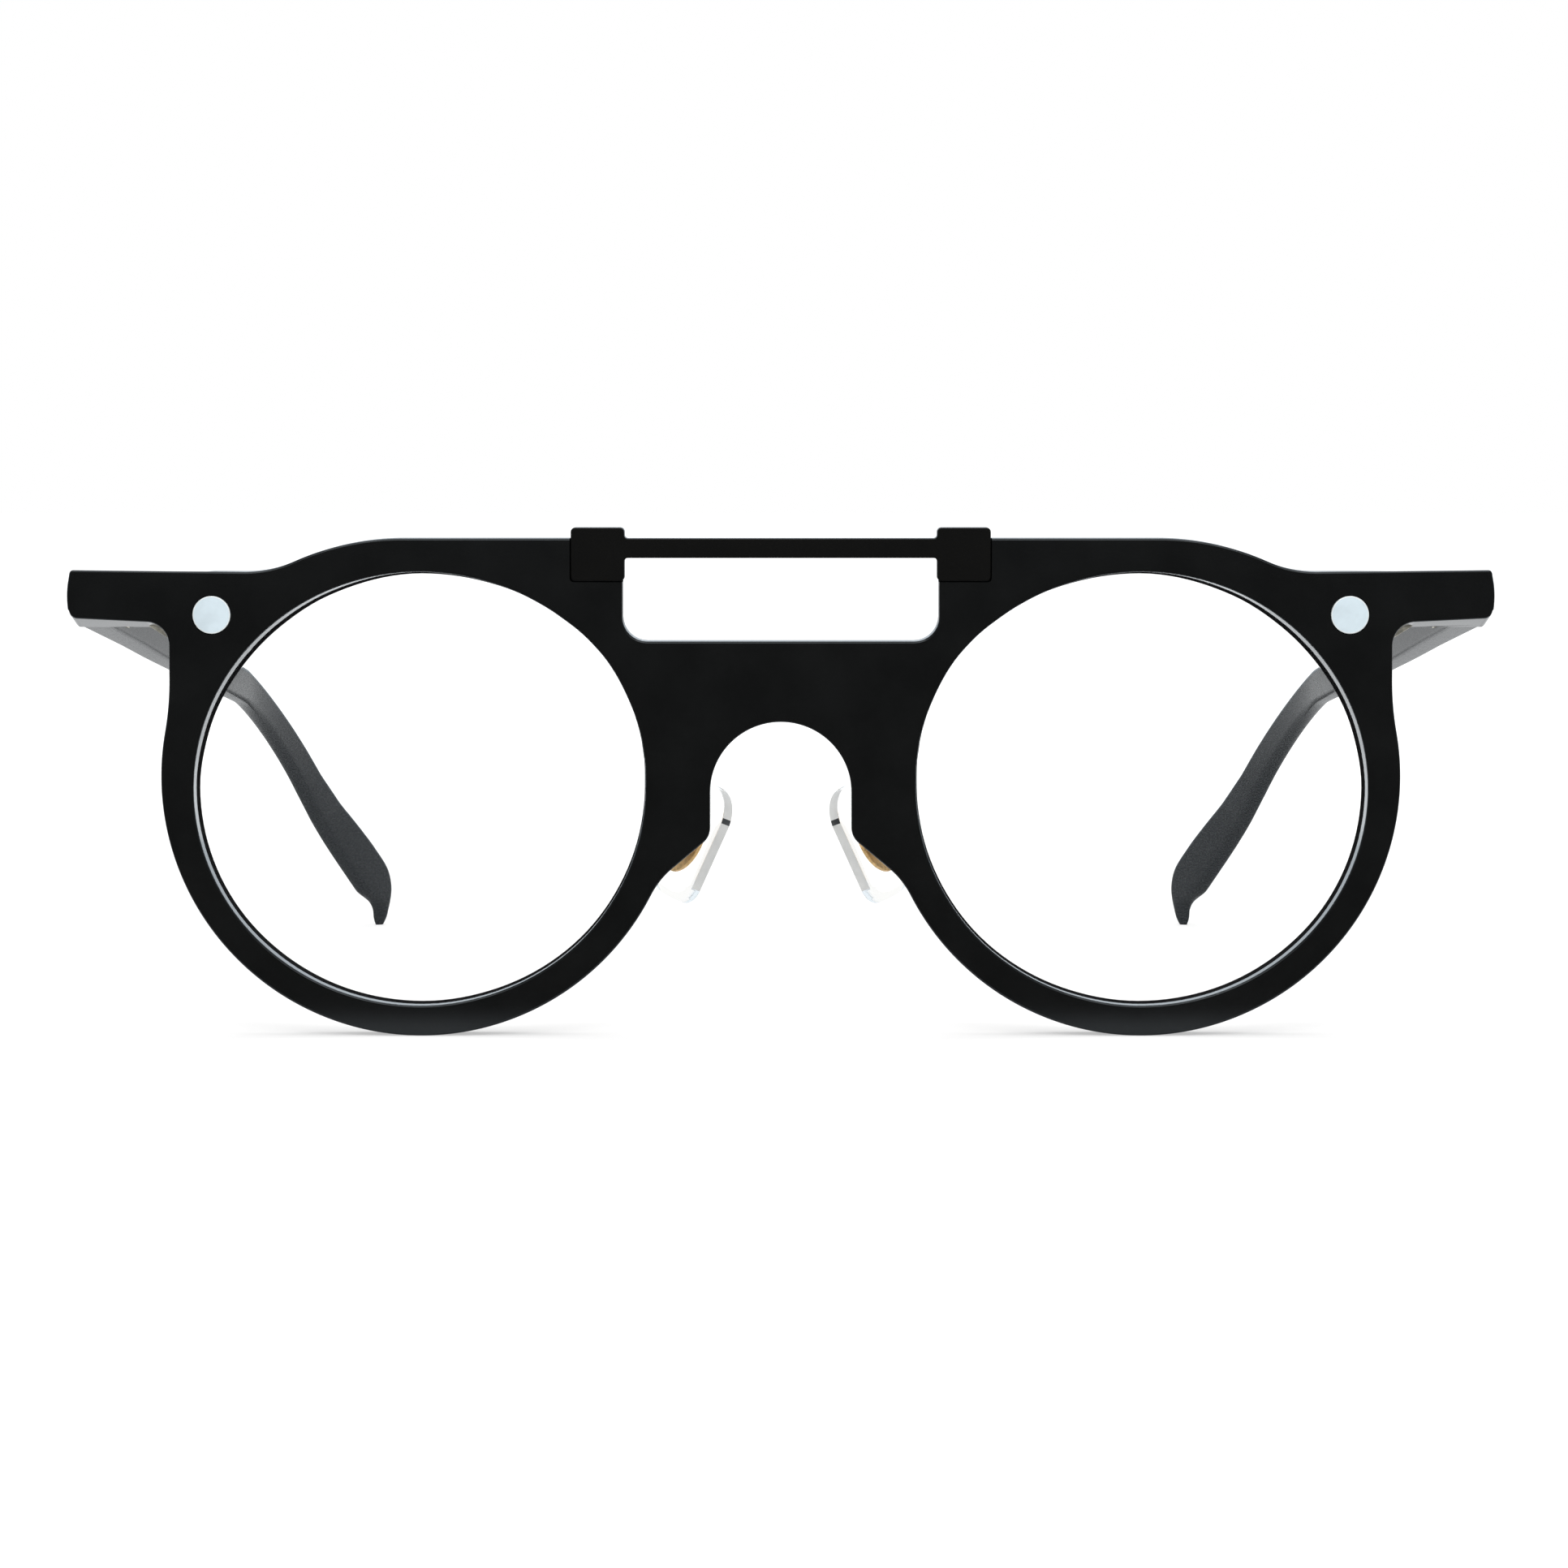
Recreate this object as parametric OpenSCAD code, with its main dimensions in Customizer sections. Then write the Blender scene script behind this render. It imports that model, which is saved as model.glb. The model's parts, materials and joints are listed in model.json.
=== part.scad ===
// Round eyeglasses standing on their rims and temple tips, temples open.
// X runs across the face, Y runs from the front to the temple tips, Z is up.
// The origin lies on the floor, under the middle of the whole object.

/* [Front plate] */
// Thickness of the front plate
front_t = 4; // [3.6:0.1:5]
// How far the straight brow edge cuts off the top of the rims
brow_cut = 2; // [1:0.1:2.6]
// How far the straight brow edge runs past the middle of a rim
brow_run = 1.75; // [0:0.25:4]
// Radius of the shoulder that turns down from the brow
brow_r = 27; // [22:0.5:32]
// Radius that blends the shoulder into the endpiece
blend_r = 12.4; // [8:0.2:16]
// Distance between the two lens openings
bridge_w = 27.6; // [26.6:0.1:29]
// Width of a rim at its side
rim_w = 3.45; // [3:0.05:4]
// How far the straight side of a rim stands in from its widest point
side_inset = 0.9; // [0.6:0.1:1.6]
// Radius that blends the side of a rim into its round edge
side_r = 30; // [20:1:40]

/* [Endpieces] */
// How far an endpiece reaches past its rim
end_reach = 9.45; // [8.6:0.05:12]
// How far the top of an endpiece lies under the brow edge
end_drop = 3.4; // [2.6:0.1:4]
// Height of an endpiece
end_h = 5; // [4.8:0.1:5.6]
// How far an endpiece reaches behind the front plate
end_back = 1.2; // [1:0.1:1.6]
// Radius of the lower inner corner between an endpiece and the rim
end_fillet_r = 2.4; // [1:0.1:2.8]
// Radius of the upper outer corner of an endpiece
end_top_r = 0.4; // [0.2:0.1:1]
// Radius of the lower outer corner of an endpiece
end_low_r = 0.9; // [0.4:0.1:1.2]
// How far the end face stands out in its middle
end_bulge = 0.3; // [0.1:0.05:0.5]

/* [Lens] */
// Width of the lens opening
lens_w = 45.9; // [44.5:0.1:46.5]
// Height of the lens opening
lens_h = 44; // [42.5:0.1:44.4]
// How far the middle of the lens lies under the middle of the rim
lens_drop = 1.2; // [0.8:0.1:1.6]
// Thickness of the lens
lens_t = 1.8; // [1.5:0.1:2.2]
// Radius of the curved faces of the lens
lens_r = 265; // [200:5:500]
// Depth of the groove that holds the lens edge
groove_d = 0.5; // [0.3:0.05:0.7]
// Thickness of the edge that sits in the groove
lens_edge_t = 0.8; // [0.6:0.1:1.2]
// How far the groove stays in from the back of the front plate
groove_back = 0.7; // [0.5:0.05:0.9]

/* [Bridge] */
// Width of the slot over the bridge
slot_w = 32.2; // [31:0.2:33.4]
// Depth of the slot under the brow edge
slot_d = 10.6; // [9:0.2:12]
// Radius of the lower corners of the slot
slot_r = 2.5; // [1:0.1:3.5]
// Radius of the nose arch
arch_r = 7.2; // [6.6:0.1:8]
// Height of the middle of the nose arch
arch_z = 24.9; // [24:0.1:26.5]
// Length of the straight wall under the nose arch
arch_wall = 3.6; // [3:0.1:4.4]
// Radius of the corner under the nose wall
nose_corner_r = 2; // [1.4:0.1:2.6]
// Slope of the flank under the nose corner
flank_angle = 40; // [36:1:44]
// Radius that blends the flank into the rim
flank_r = 9; // [6:0.5:12]

/* [Top bar] */
// Height of the bar
bar_h = 2; // [1.6:0.1:2.6]
// Depth of the bar and its blocks
bar_depth = 2.6; // [2.2:0.1:2.8]
// Width and height of a block at the end of the bar
block_size = 5.5; // [5:0.1:6.2]
// How far a block stands above the brow edge
block_rise = 1.1; // [0.6:0.1:1.6]
// How far a block stands into the slot
block_step = 0.2; // [0.1:0.05:0.5]
// Radius of the screws that hold the bar
bar_screw_r = 0.6; // [0.5:0.05:0.8]

/* [Hinges] */
// Radius of the round rivet head on the front
rivet_head_r = 1.85; // [1.6:0.05:2]
// Distance of the rivet from the end of the front
rivet_inset = 14.6; // [13.6:0.1:15.4]
// How far the rivet lies under the top of the endpiece
rivet_drop = 4.5; // [4:0.1:5]
// Radius of the rivet shank
rivet_r = 0.9; // [0.7:0.05:1.1]
// Radius of the hinge barrels
barrel_r = 1.3; // [1.2:0.05:1.4]
// How far the stack of barrels stays in from the top and the underside of an endpiece
barrel_in = 0.4; // [0.3:0.05:0.5]
// How far the front hinge leaf dips under the barrels beside the rim
leaf_dip = 1.5; // [1:0.1:1.8]
// Radius of the hinge screw
hinge_screw_r = 0.6; // [0.5:0.05:0.7]
// Thickness of the hinge leaf in the temple
leaf_t = 1; // [0.8:0.1:1.2]
// Length of the hinge leaf in the temple
leaf_l = 9; // [8:0.5:11]

/* [Temples] */
// Thickness of a temple at the hinge
temple_w = 3.7; // [3.4:0.1:4.2]
// Thickness of a temple at its tip
tip_w = 1.6; // [1.5:0.1:2.2]
// Height of a temple where the bend starts
bend_h = 4.1; // [3.6:0.1:4.6]
// Height of a temple behind the bend
neck_h = 3.5; // [3.2:0.1:4.2]
// Height of a temple at the heel of its tip
heel_h = 3.8; // [3.4:0.1:4.4]
// Length from the joint to the bend
bend_l = 86; // [80:1:92]
// Downward slope of the temple
temple_slope = 8.4; // [7.4:0.2:9.4]
// Downward slope of the tip
tip_slope = 53; // [49:1:57]
// Radius of the downward bend
bend_r = 34; // [28:1:42]
// Inward slope of the temple
temple_in = 4.4; // [3.4:0.2:5.4]
// Inward slope of the tip
tip_in = 36; // [30:1:40]
// Radius of the inward bend
curve_r = 50; // [42:1:60]
// Height of the heel over the floor
heel_rise = 4.3; // [3.8:0.1:5]
// How far the heel stands behind the foot
heel_run = 1.6; // [1.2:0.1:2]
// Width of the small foot at the end of the tip
foot_w = 0.9; // [0.7:0.1:1.2]
// Thickness of the metal core of a temple
core_w = 0.8; // [0.6:0.1:0.9]
// Height of the metal core of a temple
core_h = 1.8; // [1.4:0.1:2.2]

/* [Nose pads] */
// Length of a pad
pad_l = 12.4; // [11:0.2:13.4]
// Width of a pad
pad_w = 7.6; // [6.8:0.1:8]
// Thickness of a pad
pad_t = 2; // [1.8:0.1:2.2]
// Distance of the middle of a pad from the middle of the face
pad_x = 9.6; // [9.4:0.1:10.6]
// Distance of the middle of a pad behind the front plate
pad_back = 5; // [4.6:0.1:5.8]
// How far the middle of a pad lies under the middle of the nose arch
pad_drop = 5.4; // [5:0.1:6.4]
// Angle that opens the pads towards the face
pad_splay = 40; // [34:1:44]
// Angle that opens the pads downwards
pad_tilt = 24.4; // [20:0.4:28]
// Radius of the screw that the pad rocks on
pad_screw_r = 0.4; // [0.35:0.05:0.5]
// Radius of the wire of a pad arm
arm_r = 0.45; // [0.4:0.05:0.6]

/* [Clearances] */
// Gap between pieces that are fixed to each other
fit_gap = 0.03; // [0.02:0.01:0.05]
// Radial gap of a turning pin in its hole
turn_gap = 0.03; // [0.02:0.01:0.06]
// Gap between faces that pass each other
pass_gap = 0.1; // [0.06:0.01:0.15]
// Gap line around the blocks of the bar
block_gap = 0.2; // [0.1:0.02:0.3]

/* [Hidden] */

// Steps of the curves
rim_steps = 84;
lens_steps = 120;
lens_facets = 200;
curve_steps = 12;
corner_steps = 6;
$fn = 48;
// Length that carries a cut clear through a face
over = 1;

// Front outline, worked out from the driving sizes
rim_r = lens_w / 2 + rim_w;
rim_c = [(bridge_w + lens_w) / 2, rim_r];
lens_c = rim_c - [0, lens_drop];
end_x = rim_c.x + rim_r + end_reach;
front_w = 2 * end_x;
brow_x = rim_c.x + brow_run;
brow_z = 2 * rim_r - brow_cut;
end_top = brow_z - end_drop;
end_low = end_top - end_h;
end_mid = (end_top + end_low) / 2;
side_x = rim_c.x + rim_r - side_inset;
wall_z = arch_z - arch_wall;
slot_z = brow_z - slot_d;

// Depths behind the front face
groove_y = front_t - groove_back - lens_edge_t;
joint_y = front_t + end_back;
butt_y = joint_y + pass_gap;

// Temple section at the joint: its outer face stands this far in from the end
temple_inset = 0.15;
temple_c = [end_x - temple_inset - temple_w / 2, butt_y, end_mid - butt_y * tan(temple_slope)];

// Hinge axis, on the inner side of the temple and this far behind the joint
hinge_back = 1;
hinge_x = temple_c.x - temple_w / 2 - barrel_r - 2 * pass_gap;
hinge_y = joint_y + hinge_back;
hinge_z = temple_c.z - (hinge_y - butt_y) * tan(temple_slope);
barrel_h = end_h - 2 * barrel_in;
hinge_low = hinge_z - barrel_h / 2;
barrels = 5;
barrel_step = (barrel_h + pass_gap / 2) / barrels;
barrel_each = barrel_step - pass_gap / 2;

// Small parts of the hinges; a leaf laps this far into its barrels
leaf_lap = 0.1;
leaf_low = hinge_low - leaf_dip;
leaf_dip_end = [side_x + end_fillet_r / 8, side_x + 9 * end_fillet_r / 8];
front_leaf_end = hinge_x - barrel_r + leaf_lap;
screw_head_r = 1.1;
screw_head_t = 0.45;
rivet_x = end_x - rivet_inset;
rivet_z = end_top - rivet_drop;
rivet_head_t = 0.9;
rivet_tail_r = 1.3;
rivet_tail_t = 0.4;
leaf_h = 3.2;
leaf_start = 0.6;
leaf_screw_r = 0.5;
leaf_screw_head_r = 0.9;
leaf_screw_head_t = 0.3;
leaf_screw_l = 2.2;
leaf_screw_y = [3.4, 6.9];

// Bar and blocks
block_in = slot_w / 2 - block_step;
block_top = brow_z + block_rise;
block_corner = 0.45;
bar_fillet = 0.35;
bar_screw_l = 1.5;
bar_screw_x = block_in + block_size / 2;
bar_screw_z = block_top - block_size / 2;
bar_head_r = 1.1;
bar_head_t = 0.6;

// Pad mechanism, in the pad's own axes: x from the pad to its arm, y front to back, z along the pad
pad_c = [pad_x, front_t + pad_back, arch_z - pad_drop];
pad_axis_gap = 1.4;
pad_axis_x = pad_t / 2 + pad_axis_gap;
pad_core_size = [0.5, 4.6, 6.6];
pad_core_x = 0.1;
lug_w = 1.3;
lug_h = 1.2;
lug_reach = 0.7;
lug_end = pad_axis_x + lug_reach;
cheek_t = 0.6;
cheek_h = 2.8;
cheek_reach = 0.6;
cheek_start = pad_axis_x - cheek_reach;
wall_reach = 1.1;
box_wall_x = pad_axis_x + wall_reach;
box_end = box_wall_x + cheek_t;
pad_head_r = 0.75;
pad_head_t = 0.35;
// Corner radii of a pad, as parts of half its width, from the lower front corner on
pad_rounding = [0.5, 0.95, 0.95, 0.9];

// Foot of a pad arm, midway between the nose arch and the lens, and the bends of its wire from there
arm_foot = [3, 4.6];
arm_foot_t = 0.8;
arm_foot_rise = 1.6;
arm_foot_at = [(arch_r + bridge_w / 2) / 2, front_t, arch_z + arm_foot_rise];
arm_pin_r = 0.5;
arm_pin_l = 1.8;
arm_bends = [[0, arm_foot_t / 2, 0], [0.4, 3.2, -0.2], [1.6, 4.4, -2.4], [2.3, 3.8, -4.6]];

function reversed(list) = [for (i = [len(list) - 1:-1:0]) list[i]];
function mirrored(list) = [for (p = list) [-p.x, p.y]];
function unit(v) = v / norm(v);
function polar(angle) = [cos(angle), sin(angle)];
function arc(c, r, from, to, n) = [for (i = [0:n]) c + r * polar(from + (to - from) * i / n)];
function ellipse(c, a, b, n) = [for (i = [0:n - 1]) c + [a * cos(360 * i / n), b * sin(360 * i / n)]];
function short_turn(a) = a > 180 ? a - 360 : a < -180 ? a + 360 : a;
function mix(a, b, t) = a + (b - a) * t;

// Points of the arc that rounds the corner b between a and c
function corner(a, b, c, r, n = corner_steps) =
    let (u = unit(a - b),
         v = unit(c - b),
         half = acos(u * v) / 2,
         m = b + unit(u + v) * r / sin(half),
         s = b + u * r / tan(half) - m,
         e = b + v * r / tan(half) - m,
         from = atan2(s.y, s.x),
         turn = short_turn(atan2(e.y, e.x) - from))
    arc(m, r, from, from + turn, n);

// Closed outline with every corner of a polygon rounded
function rounded(points, radii) =
    let (n = len(points))
    [for (i = [0:n - 1]) each corner(points[(i + n - 1) % n], points[i], points[(i + 1) % n], radii[i])];

// Right half of the front outline, from the slot round to the top of the nose arch
shoulder_c = [brow_x, brow_z - brow_r];
blend_rise = end_top + blend_r - shoulder_c.y;
blend_c = [brow_x + sqrt(pow(brow_r + blend_r, 2) - pow(blend_rise, 2)), end_top + blend_r];
shoulder_turn = atan2(blend_rise, blend_c.x - brow_x);
side_run = side_x + side_r - rim_c.x;
side_c = [side_x + side_r, rim_c.y + sqrt(pow(rim_r + side_r, 2) - pow(side_run, 2))];
side_turn = atan2(side_c.y - rim_c.y, side_run);
nose_c = [arch_r + nose_corner_r, wall_z];
flank_start = nose_c + nose_corner_r * polar(270 - flank_angle);
flank_dir = polar(-flank_angle);
flank_out = polar(270 - flank_angle);
flank_a = flank_start + flank_out * flank_r - rim_c;
flank_b = flank_a * flank_dir;
flank_l = -flank_b - sqrt(pow(flank_b, 2) - flank_a * flank_a + pow(rim_r + flank_r, 2));
flank_c = flank_start + flank_dir * flank_l + flank_out * flank_r;
flank_to_rim = rim_c - flank_c;
flank_turn = atan2(flank_to_rim.y, flank_to_rim.x);

end_r = end_bulge / 2 + pow(end_h, 2) / 8 / end_bulge;
end_c = [end_x - end_r, end_mid];
end_turn = asin(end_h / 2 / end_r);
end_outline = concat(
    corner([side_x, end_top], end_c + end_r * polar(end_turn), [end_x, end_mid], end_top_r),
    arc(end_c, end_r, end_turn / 2, -end_turn / 2, corner_steps),
    corner([end_x, end_mid], end_c + end_r * polar(-end_turn), [side_x, end_low], end_low_r));

half_outline = concat(
    arc([slot_w / 2 - slot_r, slot_z + slot_r], slot_r, 270, 360, corner_steps),
    [[slot_w / 2, brow_z]],
    arc(shoulder_c, brow_r, 90, shoulder_turn, curve_steps),
    arc(blend_c, blend_r, 180 + shoulder_turn, 270, curve_steps),
    end_outline,
    arc([side_x + end_fillet_r, end_low - end_fillet_r], end_fillet_r, 90, 180, corner_steps),
    arc(side_c, side_r, 180, 180 + side_turn, corner_steps),
    arc(rim_c, rim_r, side_turn, flank_turn - 180, rim_steps),
    arc(flank_c, flank_r, flank_turn, 90 - flank_angle, corner_steps),
    arc(nose_c, nose_corner_r, 270 - flank_angle, 180, corner_steps),
    arc([0, arch_z], arch_r, 0, 90, 2 * curve_steps));

// Temple path seen from above: how far its middle has moved inwards at a depth y
curve_y = butt_y + bend_l * cos(temple_slope);
curve_end = curve_y + curve_r * (sin(tip_in) - sin(temple_in));
function inward_angle(y) =
    y < curve_y ? temple_in : y > curve_end ? tip_in : asin(sin(temple_in) + (y - curve_y) / curve_r);
function inward(y) =
    (min(y, curve_y) - butt_y) * tan(temple_in)
    + curve_r * (cos(temple_in) - cos(inward_angle(y)))
    + max(y - curve_end, 0) * tan(tip_in);

// Temple path seen from the side: points of the bend, then the tip down to the heel
bend_start = [butt_y, temple_c.z] + bend_l * [cos(temple_slope), -sin(temple_slope)];
bend_c = bend_start - bend_r * polar(90 - temple_slope);
bend_end = bend_c + bend_r * polar(90 - tip_slope);
heel_at = heel_rise - heel_h / 2 * cos(tip_slope);
tip_l = (bend_end.y - heel_at) / sin(tip_slope);
tip_dir = polar(-tip_slope);
heel_c = bend_end + tip_l * tip_dir;
foot = [heel_c.x + heel_h / 2 * sin(tip_slope) - heel_run, 0];
// The neck is the narrowest place, part of the way along the tip
neck_part = 0.25;

// Each station holds a point, the angle of the path there and the height of the temple
function stations() = concat(
    [[[butt_y, temple_c.z], temple_slope, end_h]],
    [for (i = [0:curve_steps])
        let (a = mix(temple_slope, tip_slope, i / curve_steps))
        [bend_c + bend_r * polar(90 - a), a, mix(bend_h, neck_h, i / curve_steps)]],
    [[bend_end + tip_l * neck_part * tip_dir, tip_slope, neck_h]]);
function edge(path, side) = [for (s = path) s[0] + side * s[2] / 2 * polar(90 - s[1])];

// The lower edge flattens by this angle before it turns down into the foot; its corners are
// placed and rounded by parts of the heel's rise, the heel's height and the foot's width
under_angle = 17;
notch_part = 0.6;
under_part = 0.7;
heel_rounding = 0.5;
foot_rounding = 0.35;
notch_rounding = 0.25;
under_rounding = 0.4;
notch = foot + [-foot_w / 2, heel_rise * notch_part];
under = notch - polar(under_angle - tip_slope) * heel_h * under_part;
heel = foot + [heel_run, heel_rise];
neck_low = edge(stations(), -1)[curve_steps + 2];
neck_top = edge(stations(), 1)[curve_steps + 2];
temple_side = concat(
    edge(stations(), 1),
    corner(neck_top, heel, foot + [foot_w / 2, 0], heel_rise * heel_rounding),
    corner(heel, foot + [foot_w / 2, 0], foot - [foot_w / 2, 0], foot_w * foot_rounding),
    corner(foot + [foot_w / 2, 0], foot - [foot_w / 2, 0], notch, foot_w * foot_rounding),
    corner(foot - [foot_w / 2, 0], notch, under, heel_rise * notch_rounding),
    corner(notch, under, neck_low, heel_rise * under_rounding),
    reversed(edge(stations(), -1)));

// The object is as deep as its heels reach, and the origin is under its middle
depth = max([for (p = temple_side) p.x]);

// Half the thickness of a band of the temple, measured across the face
function half_band(y, root, tip) =
    mix(root, tip, min(max((y - butt_y) / (curve_end - butt_y), 0), 1)) / 2 / cos(inward_angle(y));
plan_y = concat(
    [butt_y],
    [for (i = [0:curve_steps]) mix(curve_y, curve_end, i / curve_steps)],
    [depth + over]);
function plan_edge(side, root, tip) =
    [for (y = plan_y) [temple_c.x - inward(y) + side * half_band(y, root, tip), y]];

// Core of the temple, from behind the hinge leaf to the neck of the tip
core_start = butt_y + leaf_start + leaf_l + over;
function core_stations() = [for (s = stations()) [s[0], s[1], core_h]];

// Middle of the outer wall of the pad box, in the axes of the object
function turned(p) =
    let (x = p.x * cos(pad_splay) + p.y * sin(pad_splay),
         y = p.y * cos(pad_splay) - p.x * sin(pad_splay))
    [x * cos(pad_tilt) - p.z * sin(pad_tilt), y, x * sin(pad_tilt) + p.z * cos(pad_tilt)];
arm_joint = pad_c + turned([(box_wall_x + box_end) / 2, 0, 0]);

// Route of a pad arm's wire, from its foot on the front to the box of the pad
arm_path = concat([for (bend = arm_bends) arm_foot_at + bend], [arm_joint]);

module placed() {
    translate([0, -depth / 2, 0]) children();
}

// Pieces of the left side are the mirror image of the right side
module sided(right) {
    placed() mirror([right ? 0 : 1, 0, 0]) children();
}

// Extrudes a drawing of the front view backwards from the depth y
module slab(y, t) {
    translate([0, y + t, 0]) rotate([90, 0, 0]) linear_extrude(t) children();
}

// Extrudes a drawing of the side view across, from x onwards
module across(x, w) {
    translate([x, 0, 0]) rotate([90, 0, 90]) linear_extrude(w) children();
}

// A round bar that runs backwards from the depth y
module peg(x, y, z, r, l) {
    translate([x, y, z]) rotate([-90, 0, 0]) cylinder(r = r, h = l);
}

// Axes of the right temple at the joint
module temple_axes() {
    translate(temple_c) rotate([-temple_slope, 0, temple_in]) children();
}

// Axes of the right pad
module pad_axes() {
    translate(pad_c) rotate([0, -pad_tilt, 0]) rotate([0, 0, -pad_splay]) children();
}

module lens_outline(grow) {
    polygon(ellipse(lens_c, lens_w / 2 + grow, lens_h / 2 + grow, lens_steps));
}

module block_outline(grow) {
    x = block_in - grow;
    z = block_top - block_size - grow;
    size = block_size + 2 * grow;
    points = [[x, z], [x + size, z], [x + size, z + size], [x, z + size]];
    polygon(rounded(points, block_corner * [1, 1, 1, 1]));
}

// The endpiece slopes down towards the back, in line with the temple
module sloped_endpiece() {
    flat = cos(temple_slope);
    outline = concat([[side_x, end_low], [side_x, end_top]], end_outline);
    profile = [for (p = outline) [p.x, (p.y - end_mid) * flat]];
    intersection() {
        translate([0, 0, end_low - end_h]) cube([front_w, joint_y, 3 * end_h]);
        translate([0, 0, end_mid]) rotate([-temple_slope, 0, 0]) slab(-end_h, 3 * end_h) polygon(profile);
    }
}

// What the slope takes off the top of an endpiece
module slope_cut() {
    drop = joint_y * tan(temple_slope);
    across(rivet_x, front_w)
        polygon([[0, end_top], [joint_y, end_top - drop], [joint_y, end_top + over], [0, end_top + over]]);
}

// The leaf runs from the rivet to the barrels and dips under them in the corner beside the rim
module front_leaf_outline(end, grow) {
    translate([rivet_x, rivet_z]) circle(r = barrel_h / 2 + grow);
    polygon([
        [rivet_x, rivet_z - barrel_h / 2 - grow],
        [leaf_dip_end[0], leaf_low - grow],
        [leaf_dip_end[1], hinge_low - grow],
        [end + grow, hinge_low - grow],
        [end + grow, hinge_low + barrel_h + grow],
        [side_x, hinge_low + barrel_h + grow],
        [rivet_x, rivet_z + barrel_h / 2 + grow]
    ]);
}

module arm_foot_outline(grow) {
    translate([arm_foot_at.x, arm_foot_at.z])
        polygon(ellipse([0, 0], arm_foot.x / 2 + grow, arm_foot.y / 2 + grow, $fn));
}

// Everything that one side of the front is cut for
module side_cuts() {
    slab(-over, front_t + 2 * over) lens_outline(0);
    slab(groove_y - fit_gap, lens_edge_t + 2 * fit_gap) lens_outline(groove_d);
    slab(-over, bar_depth + over + fit_gap) block_outline(block_gap);
    peg(bar_screw_x, -over, bar_screw_z, bar_screw_r + fit_gap, front_t + 2 * over);
    peg(rivet_x, -over, rivet_z, rivet_head_r + fit_gap, rivet_head_t + over);
    peg(rivet_x, -over, rivet_z, rivet_r + fit_gap, front_t + 2 * over);
    slab(front_t, end_back + over) front_leaf_outline(hinge_x, fit_gap);
    translate([hinge_x, hinge_y, hinge_low - end_h])
        cylinder(r = barrel_r + pass_gap, h = barrel_h + 2 * end_h);
    slab(front_t - arm_foot_t / 2, arm_foot_t / 2 + over) arm_foot_outline(fit_gap);
    peg(arm_foot_at.x, front_t - arm_pin_l, arm_foot_at.z, arm_pin_r + fit_gap, arm_pin_l + over);
    slope_cut();
}

module front_frame() {
    color("#17181a") placed() difference() {
        union() {
            slab(0, front_t) polygon(concat(half_outline, reversed(mirrored(half_outline))));
            for (side = [0, 1]) mirror([side, 0, 0]) sloped_endpiece();
        }
        for (side = [0, 1]) mirror([side, 0, 0]) side_cuts();
    }
}

// The bar and its two blocks are one piece of metal
module top_bar() {
    low = brow_z - bar_h;
    color("#141413") placed() difference() {
        slab(0, bar_depth) {
            translate([-block_in - block_corner, low]) square([2 * (block_in + block_corner), bar_h]);
            for (side = [0, 1]) mirror([side, 0]) {
                block_outline(0);
                bar_fillets(low);
            }
        }
        for (side = [0, 1]) mirror([side, 0, 0])
            peg(bar_screw_x, bar_depth - bar_screw_l, bar_screw_z, bar_screw_r + fit_gap, bar_screw_l + over);
    }
}

module bar_fillets(low) {
    x = block_in - bar_fillet;
    difference() {
        translate([x, low - bar_fillet]) square([2 * bar_fillet, bar_h + 2 * bar_fillet]);
        translate([x, low - bar_fillet]) circle(r = bar_fillet);
        translate([x, brow_z + bar_fillet]) circle(r = bar_fillet);
    }
}

module bar_screws() {
    start = bar_depth - bar_screw_l + fit_gap;
    color("#3a3b3d") placed() for (side = [0, 1]) mirror([side, 0, 0]) difference() {
        union() {
            peg(bar_screw_x, start, bar_screw_z, bar_screw_r, front_t + bar_head_t / 2 - start);
            peg(bar_screw_x, front_t, bar_screw_z, bar_head_r, bar_head_t);
        }
        translate([bar_screw_x - bar_head_r, front_t + bar_head_t / 2, bar_screw_z - bar_head_t / 4])
            cube([2 * bar_head_r, bar_head_t, bar_head_t / 2]);
    }
}

// The lens has two parallel curved faces and a thin edge that sits in the groove
module lens(right) {
    sag = pow(lens_w / 2, 2) / 2 / lens_r;
    mid = groove_y + lens_edge_t / 2;
    centre = [lens_c.x, mid - sag / 2 - lens_t / 2 + lens_r, lens_c.y];
    color("#dfe9ec", 0.35) sided(right) union() {
        intersection() {
            slab(-front_t, 3 * front_t) lens_outline(-fit_gap);
            difference() {
                translate(centre) sphere(r = lens_r, $fn = lens_facets);
                translate(centre) sphere(r = lens_r - lens_t, $fn = lens_facets);
            }
            translate([0, -front_t, 0]) cube([front_w, 3 * front_t, 2 * brow_z]);
        }
        slab(groove_y, lens_edge_t) difference() {
            lens_outline(groove_d - fit_gap);
            lens_outline(-groove_d);
        }
    }
}

module rivet(right) {
    color("#d5e7f2") sided(right) union() {
        peg(rivet_x, 0, rivet_z, rivet_head_r, rivet_head_t - fit_gap);
        peg(rivet_x, 0, rivet_z, rivet_r, joint_y + rivet_tail_t);
        peg(rivet_x, joint_y, rivet_z, rivet_tail_r, rivet_tail_t);
    }
}

// Ring of the hinge, counted from below
module barrel(i) {
    translate([hinge_x, hinge_y, hinge_low + i * barrel_step]) children();
}

module screw_hole() {
    translate([hinge_x, hinge_y, hinge_low - over])
        cylinder(r = hinge_screw_r + turn_gap, h = barrel_h + 2 * over);
}

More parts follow.
